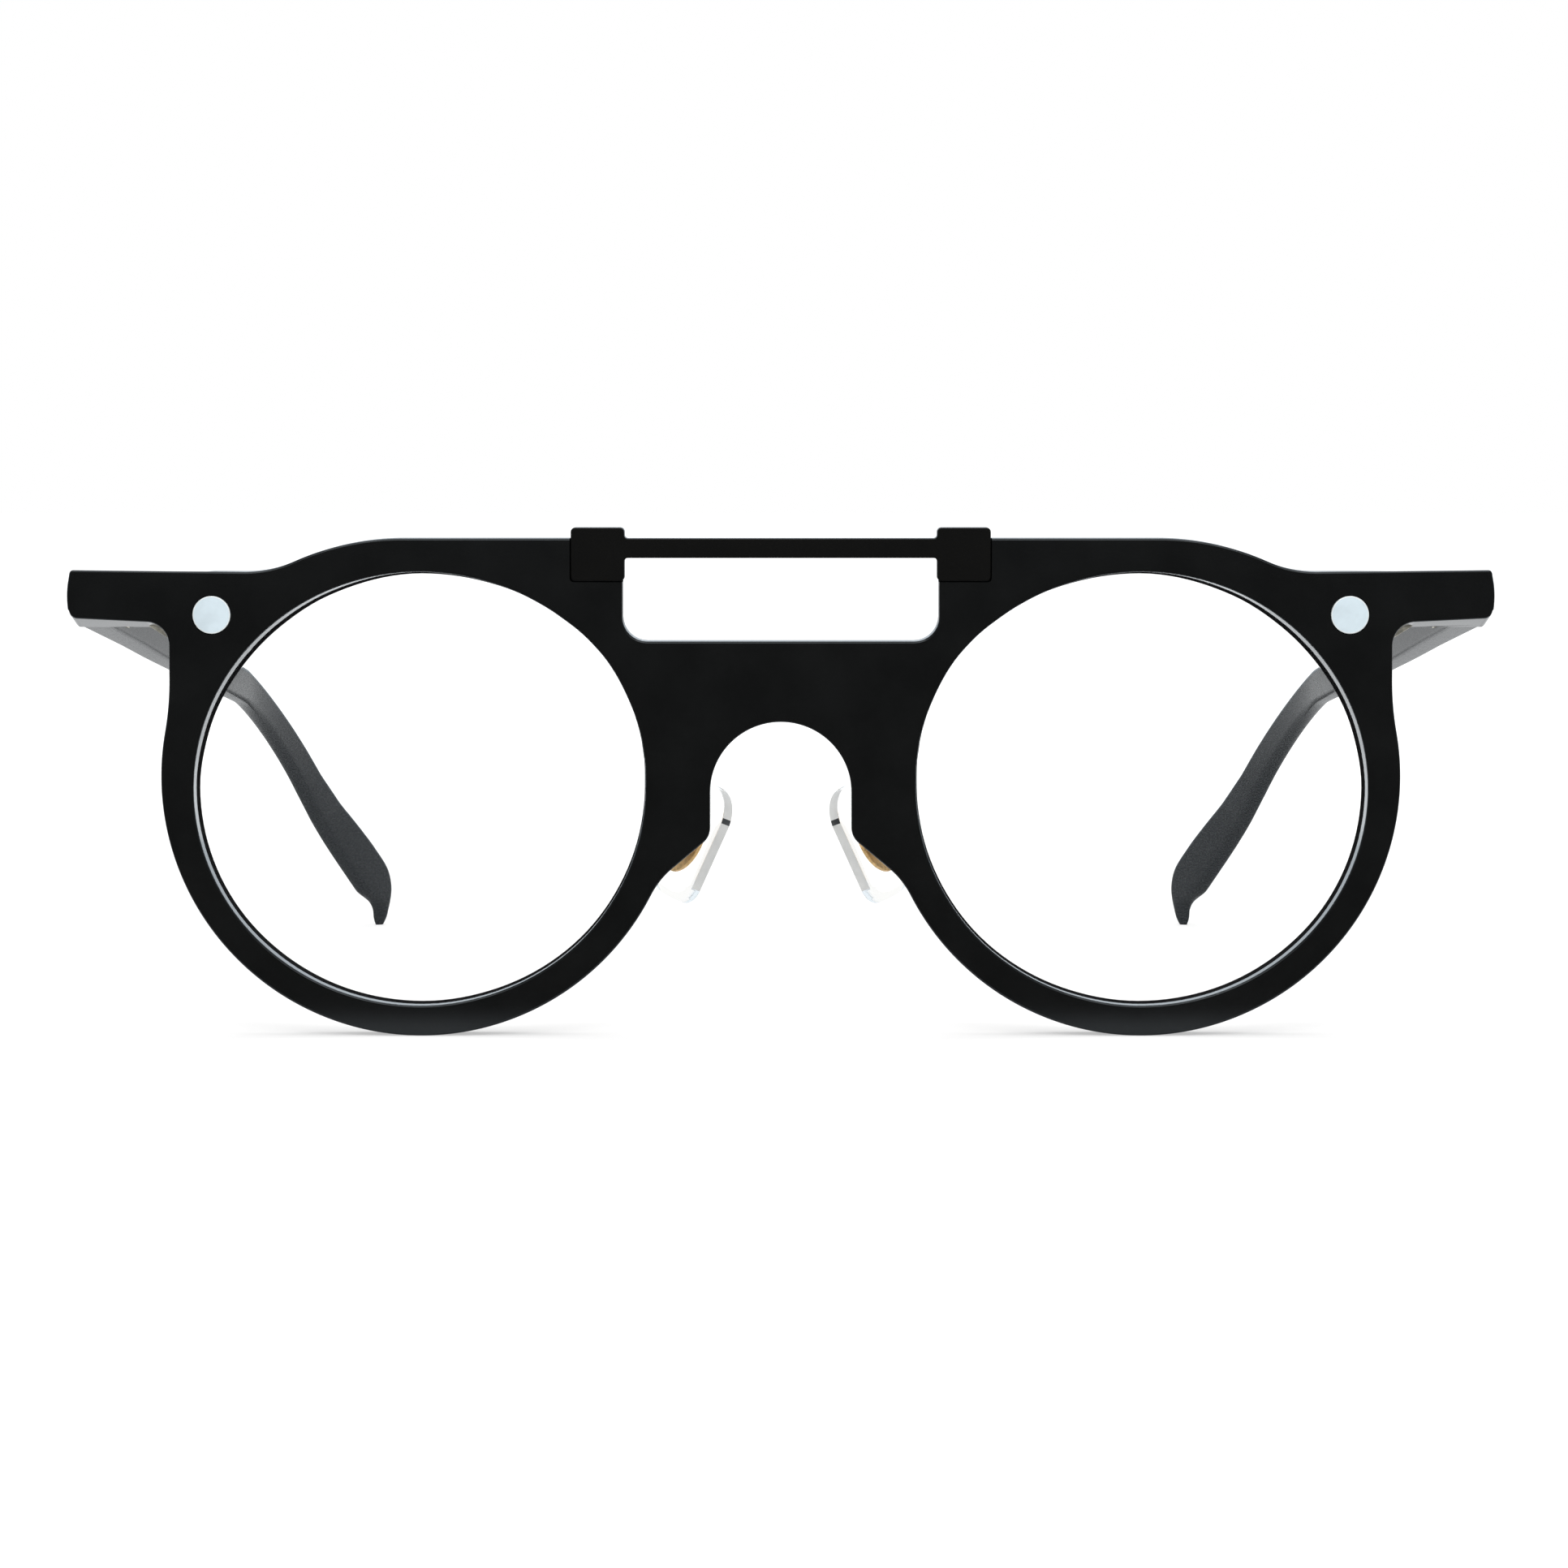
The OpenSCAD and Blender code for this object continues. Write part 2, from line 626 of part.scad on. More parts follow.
module front_hinge(right) {
    color("#b9b2a0") sided(right) difference() {
        union() {
            slab(front_t, end_back) front_leaf_outline(front_leaf_end, 0);
            for (i = [0:2:barrels - 1]) barrel(i) union() {
                cylinder(r = barrel_r, h = barrel_each);
                translate([-barrel_r, front_t - hinge_y, 0]) cube([barrel_r, hinge_y - front_t, barrel_each]);
            }
        }
        screw_hole();
        peg(rivet_x, front_t - over, rivet_z, rivet_r + fit_gap, end_back + 2 * over);
    }
}

// The leaf lies in the inner face of the temple
module leaf_shape(grow) {
    translate([-temple_w / 2 - pass_gap, leaf_start - grow, -leaf_h / 2 - grow])
        cube([leaf_t + pass_gap + grow, leaf_l + 2 * grow, leaf_h + 2 * grow]);
}

module temple_hinge(right) {
    color("#b9b2a0") sided(right) difference() {
        union() {
            temple_axes() leaf_shape(0);
            for (i = [1:2:barrels - 2]) barrel(i) union() {
                cylinder(r = barrel_r, h = barrel_each);
                cube([barrel_r + 2 * pass_gap + leaf_t / 2, barrel_r, barrel_each]);
            }
        }
        screw_hole();
        temple_axes() for (y = leaf_screw_y) leaf_screw_shape(y, fit_gap);
    }
}

module leaf_screw_shape(y, grow) {
    face = -temple_w / 2 - pass_gap;
    translate([face - over * sign(grow), leaf_start + y, 0]) rotate([0, 90, 0])
        cylinder(r = leaf_screw_head_r + grow, h = leaf_screw_head_t + grow + over * sign(grow));
    translate([face, leaf_start + y, 0]) rotate([0, 90, 0])
        cylinder(r = leaf_screw_r + grow, h = leaf_screw_l + grow);
}

module leaf_screws(right) {
    color("#a9a59a") sided(right) temple_axes() for (y = leaf_screw_y) leaf_screw_shape(y, 0);
}

module hinge_screw(right) {
    top = hinge_low + barrel_h;
    color("#a9a59a") sided(right) difference() {
        union() {
            translate([hinge_x, hinge_y, hinge_low])
                cylinder(r = hinge_screw_r, h = barrel_h + screw_head_t / 2);
            translate([hinge_x, hinge_y, top]) cylinder(r = screw_head_r, h = screw_head_t);
        }
        translate([hinge_x - screw_head_r, hinge_y - screw_head_t / 4, top + screw_head_t / 2])
            cube([2 * screw_head_r, screw_head_t / 2, screw_head_t]);
    }
}

// A band of the temple: the part where its side view and its view from above meet
module temple_band(side_view, root, tip) {
    intersection() {
        across(0, front_w) polygon(side_view);
        linear_extrude(2 * brow_z)
            polygon(concat(plan_edge(-1, root, tip), reversed(plan_edge(1, root, tip))));
    }
}

module core_shape(grow) {
    path = [for (s = core_stations()) [s[0], s[1], s[2] + 2 * grow]];
    intersection() {
        temple_band(concat(edge(path, 1), reversed(edge(path, -1))), core_w + 2 * grow, core_w + 2 * grow);
        translate([0, core_start - grow, 0]) cube([front_w, depth, brow_z]);
    }
}

module temple(right) {
    color("#2b2d31") sided(right) difference() {
        temple_band(temple_side, temple_w, tip_w);
        core_shape(fit_gap);
        temple_axes() leaf_shape(fit_gap);
        temple_axes() for (y = leaf_screw_y) leaf_screw_shape(y, fit_gap);
        translate([hinge_x, hinge_y, hinge_low - end_h])
            cylinder(r = barrel_r + 2 * pass_gap, h = barrel_h + 2 * end_h);
    }
}

module temple_core(right) {
    color("#c9c9c6") sided(right) core_shape(0);
}

module pad_arm(right) {
    color("#c8963e") sided(right) difference() {
        union() {
            slab(front_t - arm_foot_t / 2 + fit_gap, arm_foot_t) arm_foot_outline(0);
            peg(arm_foot_at.x, front_t - arm_pin_l + fit_gap, arm_foot_at.z, arm_pin_r, arm_pin_l);
            for (i = [0:len(arm_path) - 2]) wire(arm_path[i], arm_path[i + 1]);
            pad_axes() pad_box();
        }
        pad_axes() translate([pad_axis_x, -pad_w / 2, 0]) rotate([-90, 0, 0])
            cylinder(r = pad_screw_r + fit_gap, h = pad_w);
    }
}

// A straight stretch of wire with round ends
module wire(a, b) {
    v = b - a;
    translate(a) rotate([0, acos(v.z / norm(v)), atan2(v.y, v.x)]) cylinder(r = arm_r, h = norm(v));
    translate(b) sphere(r = arm_r + fit_gap);
}

// Two cheeks and a wall that hold the lug of the pad
module pad_box() {
    half = lug_w / 2 + pass_gap;
    for (side = [-1, 1])
        translate([cheek_start, side > 0 ? half : -half - cheek_t, -cheek_h / 2])
            cube([box_end - cheek_start, cheek_t, cheek_h]);
    translate([box_wall_x, -half, -cheek_h / 2]) cube([box_end - box_wall_x, 2 * half, cheek_h]);
}

module pad_screw(right) {
    half = lug_w / 2 + pass_gap + cheek_t;
    color("#c8963e") sided(right) pad_axes() translate([pad_axis_x, 0, 0]) rotate([-90, 0, 0]) union() {
        translate([0, 0, -half]) cylinder(r = pad_screw_r, h = 2 * half + pad_head_t);
        translate([0, 0, half]) cylinder(r = pad_head_r, h = pad_head_t);
    }
}

module pad_core_shape(grow) {
    size = pad_core_size;
    translate([pad_core_x - grow, 0, 0]) rotate([90, 0, 90]) linear_extrude(size.x + 2 * grow)
        polygon(ellipse([0, 0], size.y / 2 + grow, size.z / 2 + grow, $fn));
    translate([pad_core_x, -lug_w / 2 - grow, -lug_h / 2 - grow])
        cube([lug_end - pad_core_x, lug_w + 2 * grow, lug_h + 2 * grow]);
}

module pad_core(right) {
    color("#c8963e") sided(right) pad_axes() difference() {
        pad_core_shape(0);
        translate([pad_axis_x, -lug_w, 0]) rotate([-90, 0, 0])
            cylinder(r = pad_screw_r + turn_gap, h = 2 * lug_w);
    }
}

// The pad has a straight front edge and a round back edge
module nose_pad(right) {
    w = pad_w / 2;
    l = pad_l / 2;
    outline = rounded([[-w, -l], [w, -l], [w, l], [-w, l]], w * pad_rounding);
    color("#f2f2ec", 0.5) sided(right) pad_axes() difference() {
        translate([-pad_t / 2, 0, 0]) rotate([90, 0, 90]) linear_extrude(pad_t) polygon(outline);
        pad_core_shape(fit_gap);
    }
}

front_frame();
top_bar();
bar_screws();
lens(false);  // left_lens
lens(true);  // right_lens
rivet(false);  // left_rivet
rivet(true);  // right_rivet
front_hinge(false);  // left_front_hinge
front_hinge(true);  // right_front_hinge
hinge_screw(false);  // left_hinge_screw
hinge_screw(true);  // right_hinge_screw
temple_hinge(false);  // left_temple_hinge
temple_hinge(true);  // right_temple_hinge
leaf_screws(false);  // left_leaf_screws
leaf_screws(true);  // right_leaf_screws
temple(false);  // left_temple
temple(true);  // right_temple
temple_core(false);  // left_temple_core
temple_core(true);  // right_temple_core
pad_arm(false);  // left_pad_arm
pad_arm(true);  // right_pad_arm
pad_screw(false);  // left_pad_screw
pad_screw(true);  // right_pad_screw
pad_core(false);  // left_pad_core
pad_core(true);  // right_pad_core
nose_pad(false);  // left_nose_pad
nose_pad(true);  // right_nose_pad
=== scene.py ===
import json
from math import acos, asin, atan2, cos, degrees, pi, radians, sin, sqrt, tan

import bmesh
import bpy
from mathutils import Matrix, Vector

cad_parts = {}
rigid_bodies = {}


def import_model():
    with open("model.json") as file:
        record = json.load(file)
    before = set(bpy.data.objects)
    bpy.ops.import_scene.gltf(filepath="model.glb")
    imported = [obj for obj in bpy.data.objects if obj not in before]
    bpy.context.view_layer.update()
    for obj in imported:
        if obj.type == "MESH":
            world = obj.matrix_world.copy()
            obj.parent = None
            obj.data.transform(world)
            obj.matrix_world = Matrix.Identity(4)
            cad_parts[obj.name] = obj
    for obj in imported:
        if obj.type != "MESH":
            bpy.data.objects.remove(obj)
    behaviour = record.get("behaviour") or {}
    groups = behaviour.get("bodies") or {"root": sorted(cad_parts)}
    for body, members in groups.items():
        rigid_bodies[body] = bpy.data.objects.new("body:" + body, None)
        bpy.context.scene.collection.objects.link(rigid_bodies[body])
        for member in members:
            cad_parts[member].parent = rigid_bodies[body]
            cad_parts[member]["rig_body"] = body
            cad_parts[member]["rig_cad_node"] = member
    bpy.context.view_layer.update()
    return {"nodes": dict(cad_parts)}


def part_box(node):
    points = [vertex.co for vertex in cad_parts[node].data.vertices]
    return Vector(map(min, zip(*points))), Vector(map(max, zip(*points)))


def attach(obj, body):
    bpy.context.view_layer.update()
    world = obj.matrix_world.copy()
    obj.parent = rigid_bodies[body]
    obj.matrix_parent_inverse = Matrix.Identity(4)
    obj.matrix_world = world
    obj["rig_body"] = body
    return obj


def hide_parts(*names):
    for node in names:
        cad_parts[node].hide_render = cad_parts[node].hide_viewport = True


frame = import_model()

# The studio: a camera at eye height above the table, a white floor and a white room that is dark
# behind the camera, one soft lamp overhead and one in front. Sizes are in millimetres, and y is
# counted from the front face of the glasses.
MM = 0.001
FACE_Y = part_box("front_frame")[0].y


def at(x, y, z):
    return Vector((x * MM, FACE_Y + y * MM, z * MM))


camera_side, camera_away, camera_up, camera_pitch = 0.33, 558, 63, 3.8146
focal, sensor = 126.02, 36
bpy.ops.object.camera_add(
    location=at(camera_side, -camera_away, camera_up),
    rotation=(radians(90 - camera_pitch), 0, 0),
)
camera = bpy.context.object
camera.data.lens = focal
camera.data.sensor_width = sensor
camera.data.clip_start = 10 * MM
bpy.context.scene.camera = camera
bpy.context.scene.view_settings.view_transform = "Standard"


def new_material(name):
    """A new node material: its node tree and its Principled shader."""
    material = bpy.data.materials.new(name)
    material.use_nodes = True
    return material, material.node_tree, material.node_tree.nodes["Principled BSDF"]


def coat(piece, *materials):
    """Gives the piece its materials, in this order."""
    for material in materials:
        piece.data.materials.append(material)


def add(tree, kind, inputs=None, **settings):
    """Adds a node; inputs maps a socket's name or number to a value or to another node's output."""
    node = tree.nodes.new(kind)
    for key, value in settings.items():
        setattr(node, key, value)
    for key, value in (inputs or {}).items():
        if isinstance(value, bpy.types.NodeSocket):
            tree.links.new(value, node.inputs[key])
        else:
            node.inputs[key].default_value = value
    return node


def reckon(tree, operation, a, b):
    """One sum with two values, each a number or another node's output."""
    return add(tree, "ShaderNodeMath", {0: a, 1: b}, operation=operation).outputs[0]


def spread(tree, value, given, wanted=(0, 1), soft=False):
    """Takes a value from its given span to the wanted one, softly at both ends if asked."""
    return add(tree, "ShaderNodeMapRange", {
        "Value": value, "From Min": given[0], "From Max": given[1], "To Min": wanted[0], "To Max": wanted[1]},
        interpolation_type="SMOOTHSTEP" if soft else "LINEAR").outputs[0]


def seen_directly(tree):
    """1 where a camera, glossy or transmission ray looks at the surface."""
    path = add(tree, "ShaderNodeLightPath").outputs
    looked_at = reckon(tree, "MAXIMUM", path["Is Camera Ray"], path["Is Glossy Ray"])
    return reckon(tree, "MAXIMUM", looked_at, path["Is Transmission Ray"])


def seen_mirrored(tree):
    """1 where a ray comes from a gloss on a surface, and not from one that light goes through."""
    path = add(tree, "ShaderNodeLightPath").outputs
    return reckon(tree, "MULTIPLY", path["Is Glossy Ray"], path["Is Reflection Ray"])


def room_tint(tree):
    """White, but the cool tint of the room once a ray has been mirrored."""
    depth = add(tree, "ShaderNodeLightPath").outputs["Glossy Depth"]
    tint = add(tree, "ShaderNodeMix", {"Factor": reckon(tree, "MINIMUM", depth, 1.0)}, data_type="RGBA")
    tint.inputs[6].default_value = (1, 1, 1, 1)
    tint.inputs[7].default_value = room_cool
    return tint.outputs[2]


room_light, room_front, room_horizon = 0.68, 0.1, 0.62
room_cool = (0.85, 0.93, 1.0, 1)
dark_to_light, horizon_to_wall = (-0.45, 0.05), (0.0, 0.09)
world = bpy.data.worlds.new("white_room")
world.use_nodes = True
bpy.context.scene.world = world
tree = world.node_tree
tree.nodes.clear()
direction = add(tree, "ShaderNodeTexCoord").outputs["Generated"]
part = add(tree, "ShaderNodeSeparateXYZ", {0: direction}).outputs
side = reckon(tree, "MULTIPLY", spread(tree, part["Y"], dark_to_light, (room_front, 1), soft=True),
              spread(tree, part["Z"], horizon_to_wall, (room_horizon, 1), soft=True))
wall = add(tree, "ShaderNodeMix", {"Factor": seen_mirrored(tree), "A": 1.0, "B": side},
           data_type="FLOAT").outputs["Result"]
lamp_side = add(tree, "ShaderNodeBackground", {"Color": (1, 1, 1, 1), "Strength": room_light})
seen_side = add(tree, "ShaderNodeBackground", {"Color": room_tint(tree), "Strength": wall})
mixed = add(tree, "ShaderNodeMixShader",
            {0: seen_directly(tree), 1: lamp_side.outputs[0], 2: seen_side.outputs[0]})
add(tree, "ShaderNodeOutputWorld", {"Surface": mixed.outputs[0]})

lamps_aim = at(0, 40, 20)
for lamp_name, lamp_at, lamp_size, lamp_power in (
    ("lamp_overhead", at(0, 150, 1000), 0.9, 3.4),
    ("lamp_front", at(0, -1250, 950), 1.1, 10.0),
):
    bpy.ops.object.light_add(type="AREA", location=lamp_at)
    lamp = bpy.context.object
    lamp.name = lamp_name
    lamp.data.size = lamp_size
    lamp.data.energy = lamp_power
    lamp.rotation_euler = (lamps_aim - lamp_at).to_track_quat("-Z", "Y").to_euler()

# The table is white paper. In front of the glasses it is dark to reflections, as the room behind the
# camera is, and further away it glows a little more, so that it meets the white wall unseen.
table_size, table_white = 6, 0.62
glow_from, seen_glow_level = (0.13, 0.4), (0.46, 0.75)
mirror_from, mirror_level = (0.15, 0.6), (0.2, 0.12)
mirror_starts, mirror_full = -30, -3
bpy.ops.mesh.primitive_plane_add(size=table_size, location=(0, 0, 0))
floor = bpy.context.object
floor.name = "floor"
floor_material, tree, shader = new_material("white_table")
tree.nodes.remove(shader)
spot = add(tree, "ShaderNodeTexCoord").outputs["Object"]
behind = spread(tree, add(tree, "ShaderNodeSeparateXYZ", {0: spot}).outputs["Y"],
                (at(0, mirror_starts, 0).y, at(0, mirror_full, 0).y), soft=True)
away = add(tree, "ShaderNodeVectorMath", {0: spot}, operation="LENGTH").outputs["Value"]
path = add(tree, "ShaderNodeLightPath").outputs
looked_at = reckon(tree, "MAXIMUM", path["Is Camera Ray"], path["Is Transmission Ray"])
seen_glow = reckon(tree, "MULTIPLY", looked_at, spread(tree, away, glow_from, seen_glow_level))
mirrored_glow = reckon(tree, "MULTIPLY", reckon(tree, "MULTIPLY", seen_mirrored(tree), behind),
                       spread(tree, away, mirror_from, mirror_level))
glow_level = reckon(tree, "MAXIMUM", seen_glow, mirrored_glow)
dark_before = reckon(tree, "MULTIPLY", seen_mirrored(tree), reckon(tree, "SUBTRACT", 1.0, behind))
albedo = reckon(tree, "MULTIPLY", reckon(tree, "SUBTRACT", 1.0, dark_before), table_white)
paper = add(tree, "ShaderNodeBsdfDiffuse", {"Color": albedo})
glow = add(tree, "ShaderNodeEmission", {"Color": room_tint(tree), "Strength": glow_level})
both = add(tree, "ShaderNodeAddShader", {0: paper.outputs[0], 1: glow.outputs[0]})
tree.links.new(both.outputs[0], tree.nodes["Material Output"].inputs["Surface"])
coat(floor, floor_material)

# The front is one flat plate of black acetate, 4 mm thick, cut from sheet with two round rims, a
# nose arch and an open slot over the bridge. Its edges are tumbled round, and each endpiece slopes
# down to the back and is milled for the lens, the rivet, the bar's blocks and the hinge.
plate_t = 4
edge_r, joint_edge = 0.22, 0.05
brow_z, shoulder_r, blend_r = 50.8, 27, 12.4
rim_c, rim_r = Vector((36.75, 26.4)), 26.4
lens_c, lens_a, lens_b = Vector((36.75, 25.2)), 22.95, 22
side_inset, side_r = 0.9, 30
end_x, end_top, end_h, end_back, end_slope = 72.6, 47.4, 5, 1.24, 8.4
slot_w, slot_d, slot_r = 32.2, 10.47, 2.5
arch_r, arch_z, arch_wall, nose_corner_r, flank_angle, flank_r = 7.2, 24.9, 3.6, 2, 40, 9


def clear_selection():
    if bpy.context.mode != "OBJECT":
        bpy.ops.object.mode_set(mode="OBJECT")
    bpy.ops.object.select_all(action="DESELECT")


def mesh_of(piece):
    return bmesh.from_edit_mesh(piece.data)


def select(piece, test, kind="verts"):
    """In edit mode, selects what the test says yes to, by place or normal, and nothing else."""
    mesh = mesh_of(piece)
    for part in mesh.faces[:] + mesh.edges[:] + mesh.verts[:]:
        part.select = False
    bpy.context.tool_settings.mesh_select_mode = (kind == "verts", kind == "edges", kind == "faces")
    for part in getattr(mesh, kind):
        if test(part):
            part.select_set(True)
    mesh.select_flush_mode()
    bmesh.update_edit_mesh(piece.data)


def pick(piece, edit=False):
    """Selects one piece and nothing else, and opens its mesh if asked."""
    clear_selection()
    piece.select_set(True)
    bpy.context.view_layer.objects.active = piece
    if edit:
        bpy.ops.object.mode_set(mode="EDIT")


def applied(name):
    """Names the primitive just added, and puts its place, turn and scale into its mesh."""
    piece = bpy.context.object
    piece.name = name
    bpy.ops.object.transform_apply(location=True, rotation=True, scale=True)
    return piece


def cylinder(name, radius, depth, place, steps=48, turn=0, scale=(1, 1, 1)):
    """A plain bar with flat ends, upright unless turned, in metres."""
    clear_selection()
    bpy.ops.mesh.primitive_cylinder_add(
        vertices=steps, radius=radius, depth=depth, location=place, rotation=(turn, 0, 0), scale=scale)
    return applied(name)


def select_whole():
    bpy.ops.mesh.select_all(action="SELECT")


def face_outwards():
    """In edit mode, turns every face of the piece to the outside."""
    select_whole()
    bpy.ops.mesh.normals_make_consistent(inside=False)


def round_edges(width, steps):
    """Rounds the selected edges over a width in millimetres."""
    bpy.ops.mesh.bevel(offset=width * MM, segments=steps, profile=0.5, affect="EDGES", clamp_overlap=False)


def draw_out(x, y, z):
    """Extrudes what is selected by a way in millimetres."""
    bpy.ops.mesh.extrude_region_move(TRANSFORM_OT_translate={"value": (x * MM, y * MM, z * MM)})


def trace(name, points):
    """Draws a closed outline point by point, as with extruded vertices, and fills it."""
    clear_selection()
    bpy.ops.mesh.primitive_plane_add(size=MM, location=points[0])
    piece = applied(name)
    bpy.ops.object.mode_set(mode="EDIT")
    bpy.ops.mesh.select_mode(type="VERT")
    select_whole()
    bpy.ops.mesh.merge(type="CENTER")
    for a, b in zip(points, points[1:]):
        bpy.ops.mesh.extrude_vertices_move(TRANSFORM_OT_translate={"value": b - a})
    select_whole()
    bpy.ops.mesh.edge_face_add()
    return piece


def turned(angle, axis):
    return Matrix.Rotation(radians(angle), 4, axis)


def polar(angle):
    return Vector((cos(radians(angle)), sin(radians(angle))))


def arc(c, r, start, end, steps):
    return [Vector(c) + r * polar(start + (end - start) * i / steps) for i in range(steps + 1)]


def corner(a, b, c, r, steps=6):
    """Points of the arc that rounds the corner b between a and c."""
    u, v = (a - b).normalized(), (c - b).normalized()
    half = acos(max(-1, min(1, u.dot(v)))) / 2
    m = b + (u + v).normalized() * r / sin(half)
    s, e = b + u * r / tan(half) - m, b + v * r / tan(half) - m
    start, turn = degrees(atan2(s.y, s.x)), degrees(atan2(e.y, e.x) - atan2(s.y, s.x))
    turn += 360 if turn < -180 else -360 if turn > 180 else 0
    return arc(m, r, start, start + turn, steps)


def finish_mesh(piece, angle=35):
    """Closes the modelling: faces point outwards, and flat faces stay flat beside round edges."""
    if bpy.context.mode != "EDIT_MESH":
        pick(piece, edit=True)
    select_whole()
    bpy.ops.mesh.remove_doubles(threshold=1e-7)
    bpy.ops.mesh.normals_make_consistent(inside=False)
    bpy.ops.object.mode_set(mode="OBJECT")
    bpy.ops.object.shade_smooth_by_angle(angle=radians(angle))
    modifier = piece.modifiers.new("even_normals", "WEIGHTED_NORMAL")
    modifier.keep_sharp = True
    bpy.ops.object.modifier_apply(modifier=modifier.name)


def cut(piece, cutter):
    """Mills the cutter's shape out of the piece."""
    pick(piece)
    modifier = piece.modifiers.new("mill", "BOOLEAN")
    modifier.operation = "DIFFERENCE"
    modifier.solver = "EXACT"
    modifier.object = cutter
    bpy.ops.object.modifier_apply(modifier=modifier.name)
    bpy.data.objects.remove(cutter)


def mirrored(outline):
    return [Vector((-p.x, p.y)) for p in reversed(outline)]


end_low = end_top - end_h
end_mid = (end_top + end_low) / 2
side_x = rim_c.x + rim_r - side_inset
shoulder_c = Vector((38.5, brow_z - shoulder_r))
blend_rise = end_top + blend_r - shoulder_c.y
blend_c = Vector((shoulder_c.x + sqrt((shoulder_r + blend_r) ** 2 - blend_rise ** 2), end_top + blend_r))
shoulder_turn = degrees(atan2(blend_rise, blend_c.x - shoulder_c.x))
side_c = Vector((side_x + side_r, rim_c.y + sqrt((rim_r + side_r) ** 2 - (side_x + side_r - rim_c.x) ** 2)))
side_turn = degrees(atan2(side_c.y - rim_c.y, side_c.x - rim_c.x))
nose_c = Vector((arch_r + nose_corner_r, arch_z - arch_wall))
flank_start = nose_c + nose_corner_r * polar(270 - flank_angle)
flank_out, flank_dir = polar(270 - flank_angle), polar(-flank_angle)
flank_a = flank_start + flank_out * flank_r - rim_c
flank_b = flank_a.dot(flank_dir)
flank_l = -flank_b - sqrt(flank_b ** 2 - flank_a.dot(flank_a) + (rim_r + flank_r) ** 2)
flank_c = flank_start + flank_dir * flank_l + flank_out * flank_r
flank_turn = degrees(atan2(rim_c.y - flank_c.y, rim_c.x - flank_c.x))
end_bulge, end_top_r, end_low_r, end_fillet_r, end_rise, end_lift = 0.3, 0.4, 0.9, 2.4, 0.38, 0.22
under_edge = end_low - 0.07
end_r = end_bulge / 2 + end_h ** 2 / 8 / end_bulge
end_c = Vector((end_x - end_r, end_mid))
end_turn = degrees(asin(end_h / 2 / end_r))
end_middle = Vector((end_x, end_mid))
half_outline = (
    arc((slot_w / 2 - slot_r, brow_z - slot_d + slot_r), slot_r, 270, 360, 8)
    + [Vector((slot_w / 2, brow_z))]
    + arc(shoulder_c, shoulder_r, 90, shoulder_turn, 18)
    + arc(blend_c, blend_r, 180 + shoulder_turn, 270, 14)
    + corner(Vector((side_x, end_top)), end_c + end_r * polar(end_turn) + Vector((0, end_lift)), end_middle,
             end_top_r, 4)
    + arc(end_c, end_r, end_turn / 2, -end_turn / 2, 6)
    + corner(end_middle, Vector((end_c.x + end_r * cos(radians(end_turn)), under_edge + end_rise)),
             Vector((side_x + end_fillet_r, under_edge)), end_low_r, 6)
    + arc((side_x + end_fillet_r, under_edge - end_fillet_r), end_fillet_r, 90, 180, 12)
    + arc(side_c, side_r, 180, 180 + side_turn, 10)
    + arc(rim_c, rim_r, side_turn, flank_turn - 180, 110)
    + arc(flank_c, flank_r, flank_turn, 90 - flank_angle, 10)
    + arc(nose_c, nose_corner_r, 270 - flank_angle, 180, 8)
    + arc((0, arch_z), arch_r, 0, 90, 24)[:-1]
)
whole_outline = half_outline + [Vector((0, arch_z + arch_r))] + mirrored(half_outline)
front = trace("front_plate", [at(p.x, 0, p.y) for p in whole_outline])
bpy.ops.mesh.remove_doubles(threshold=1e-6)
draw_out(0, plate_t, 0)
face_outwards()

rivet_x, rivet_z, rivet_r, rivet_t = 57.9, 43.02, 1.94, 0.9

# The endpieces slope down towards the back, in line with the temples.
slope_start, slope_full = 57, 64
under_share, share_rise, share_most = 0.95, 1.3, 0.45


def slope(x):
    t = max(0, min(1, (abs(x) / MM - slope_start) / (slope_full - slope_start)))
    return t * t * (3 - 2 * t) * tan(radians(end_slope))


def slope_back(piece):
    """Moves each point of an endpiece down by its depth behind the front face."""
    for v in mesh_of(piece).verts:
        if v.co.z > (under_edge - end_fillet_r) * MM:
            up = max(0, min(share_most, v.co.z / MM - under_edge))
            share = 1 if v.co.z > end_mid * MM else under_share + share_rise * up
            v.co.z -= (v.co.y - FACE_Y) * slope(v.co.x) * share
    bmesh.update_edit_mesh(piece.data)


def on_plane(edge, y):
    return all(abs(v.co.y - y) < 1e-6 for v in edge.verts)


# Each endpiece is thicker than the plate: its part of the back face is drawn out by end_back. Lines
# through the middle of each hole split the big faces, so that no face has a hole inside it.
end_foot, split_out = under_edge - end_fillet_r - 0.6, 0.05
for split in (-lens_c.x, 0, lens_c.x):
    select_whole()
    bpy.ops.mesh.bisect(plane_co=at(split, 0, 0), plane_no=(1, 0, 0), threshold=1e-6)
select_whole()
bpy.ops.mesh.bisect(plane_co=at(0, 0, end_foot), plane_no=(0, 0, 1), threshold=1e-6)
for split in (-side_x - split_out, -rivet_x, rivet_x, side_x + split_out):
    select(front, lambda f: f.calc_center_median().z > end_foot * MM and (
        abs(f.calc_center_median().x) > lens_c.x * MM), "faces")
    bpy.ops.mesh.bisect(plane_co=at(split, 0, 0), plane_no=(1, 0, 0), threshold=1e-6)
select(front, lambda f: f.normal.y > 0.9 and abs(f.calc_center_median().x) > side_x * MM, "faces")
draw_out(0, end_back, 0)
slope_back(front)
clear_selection()

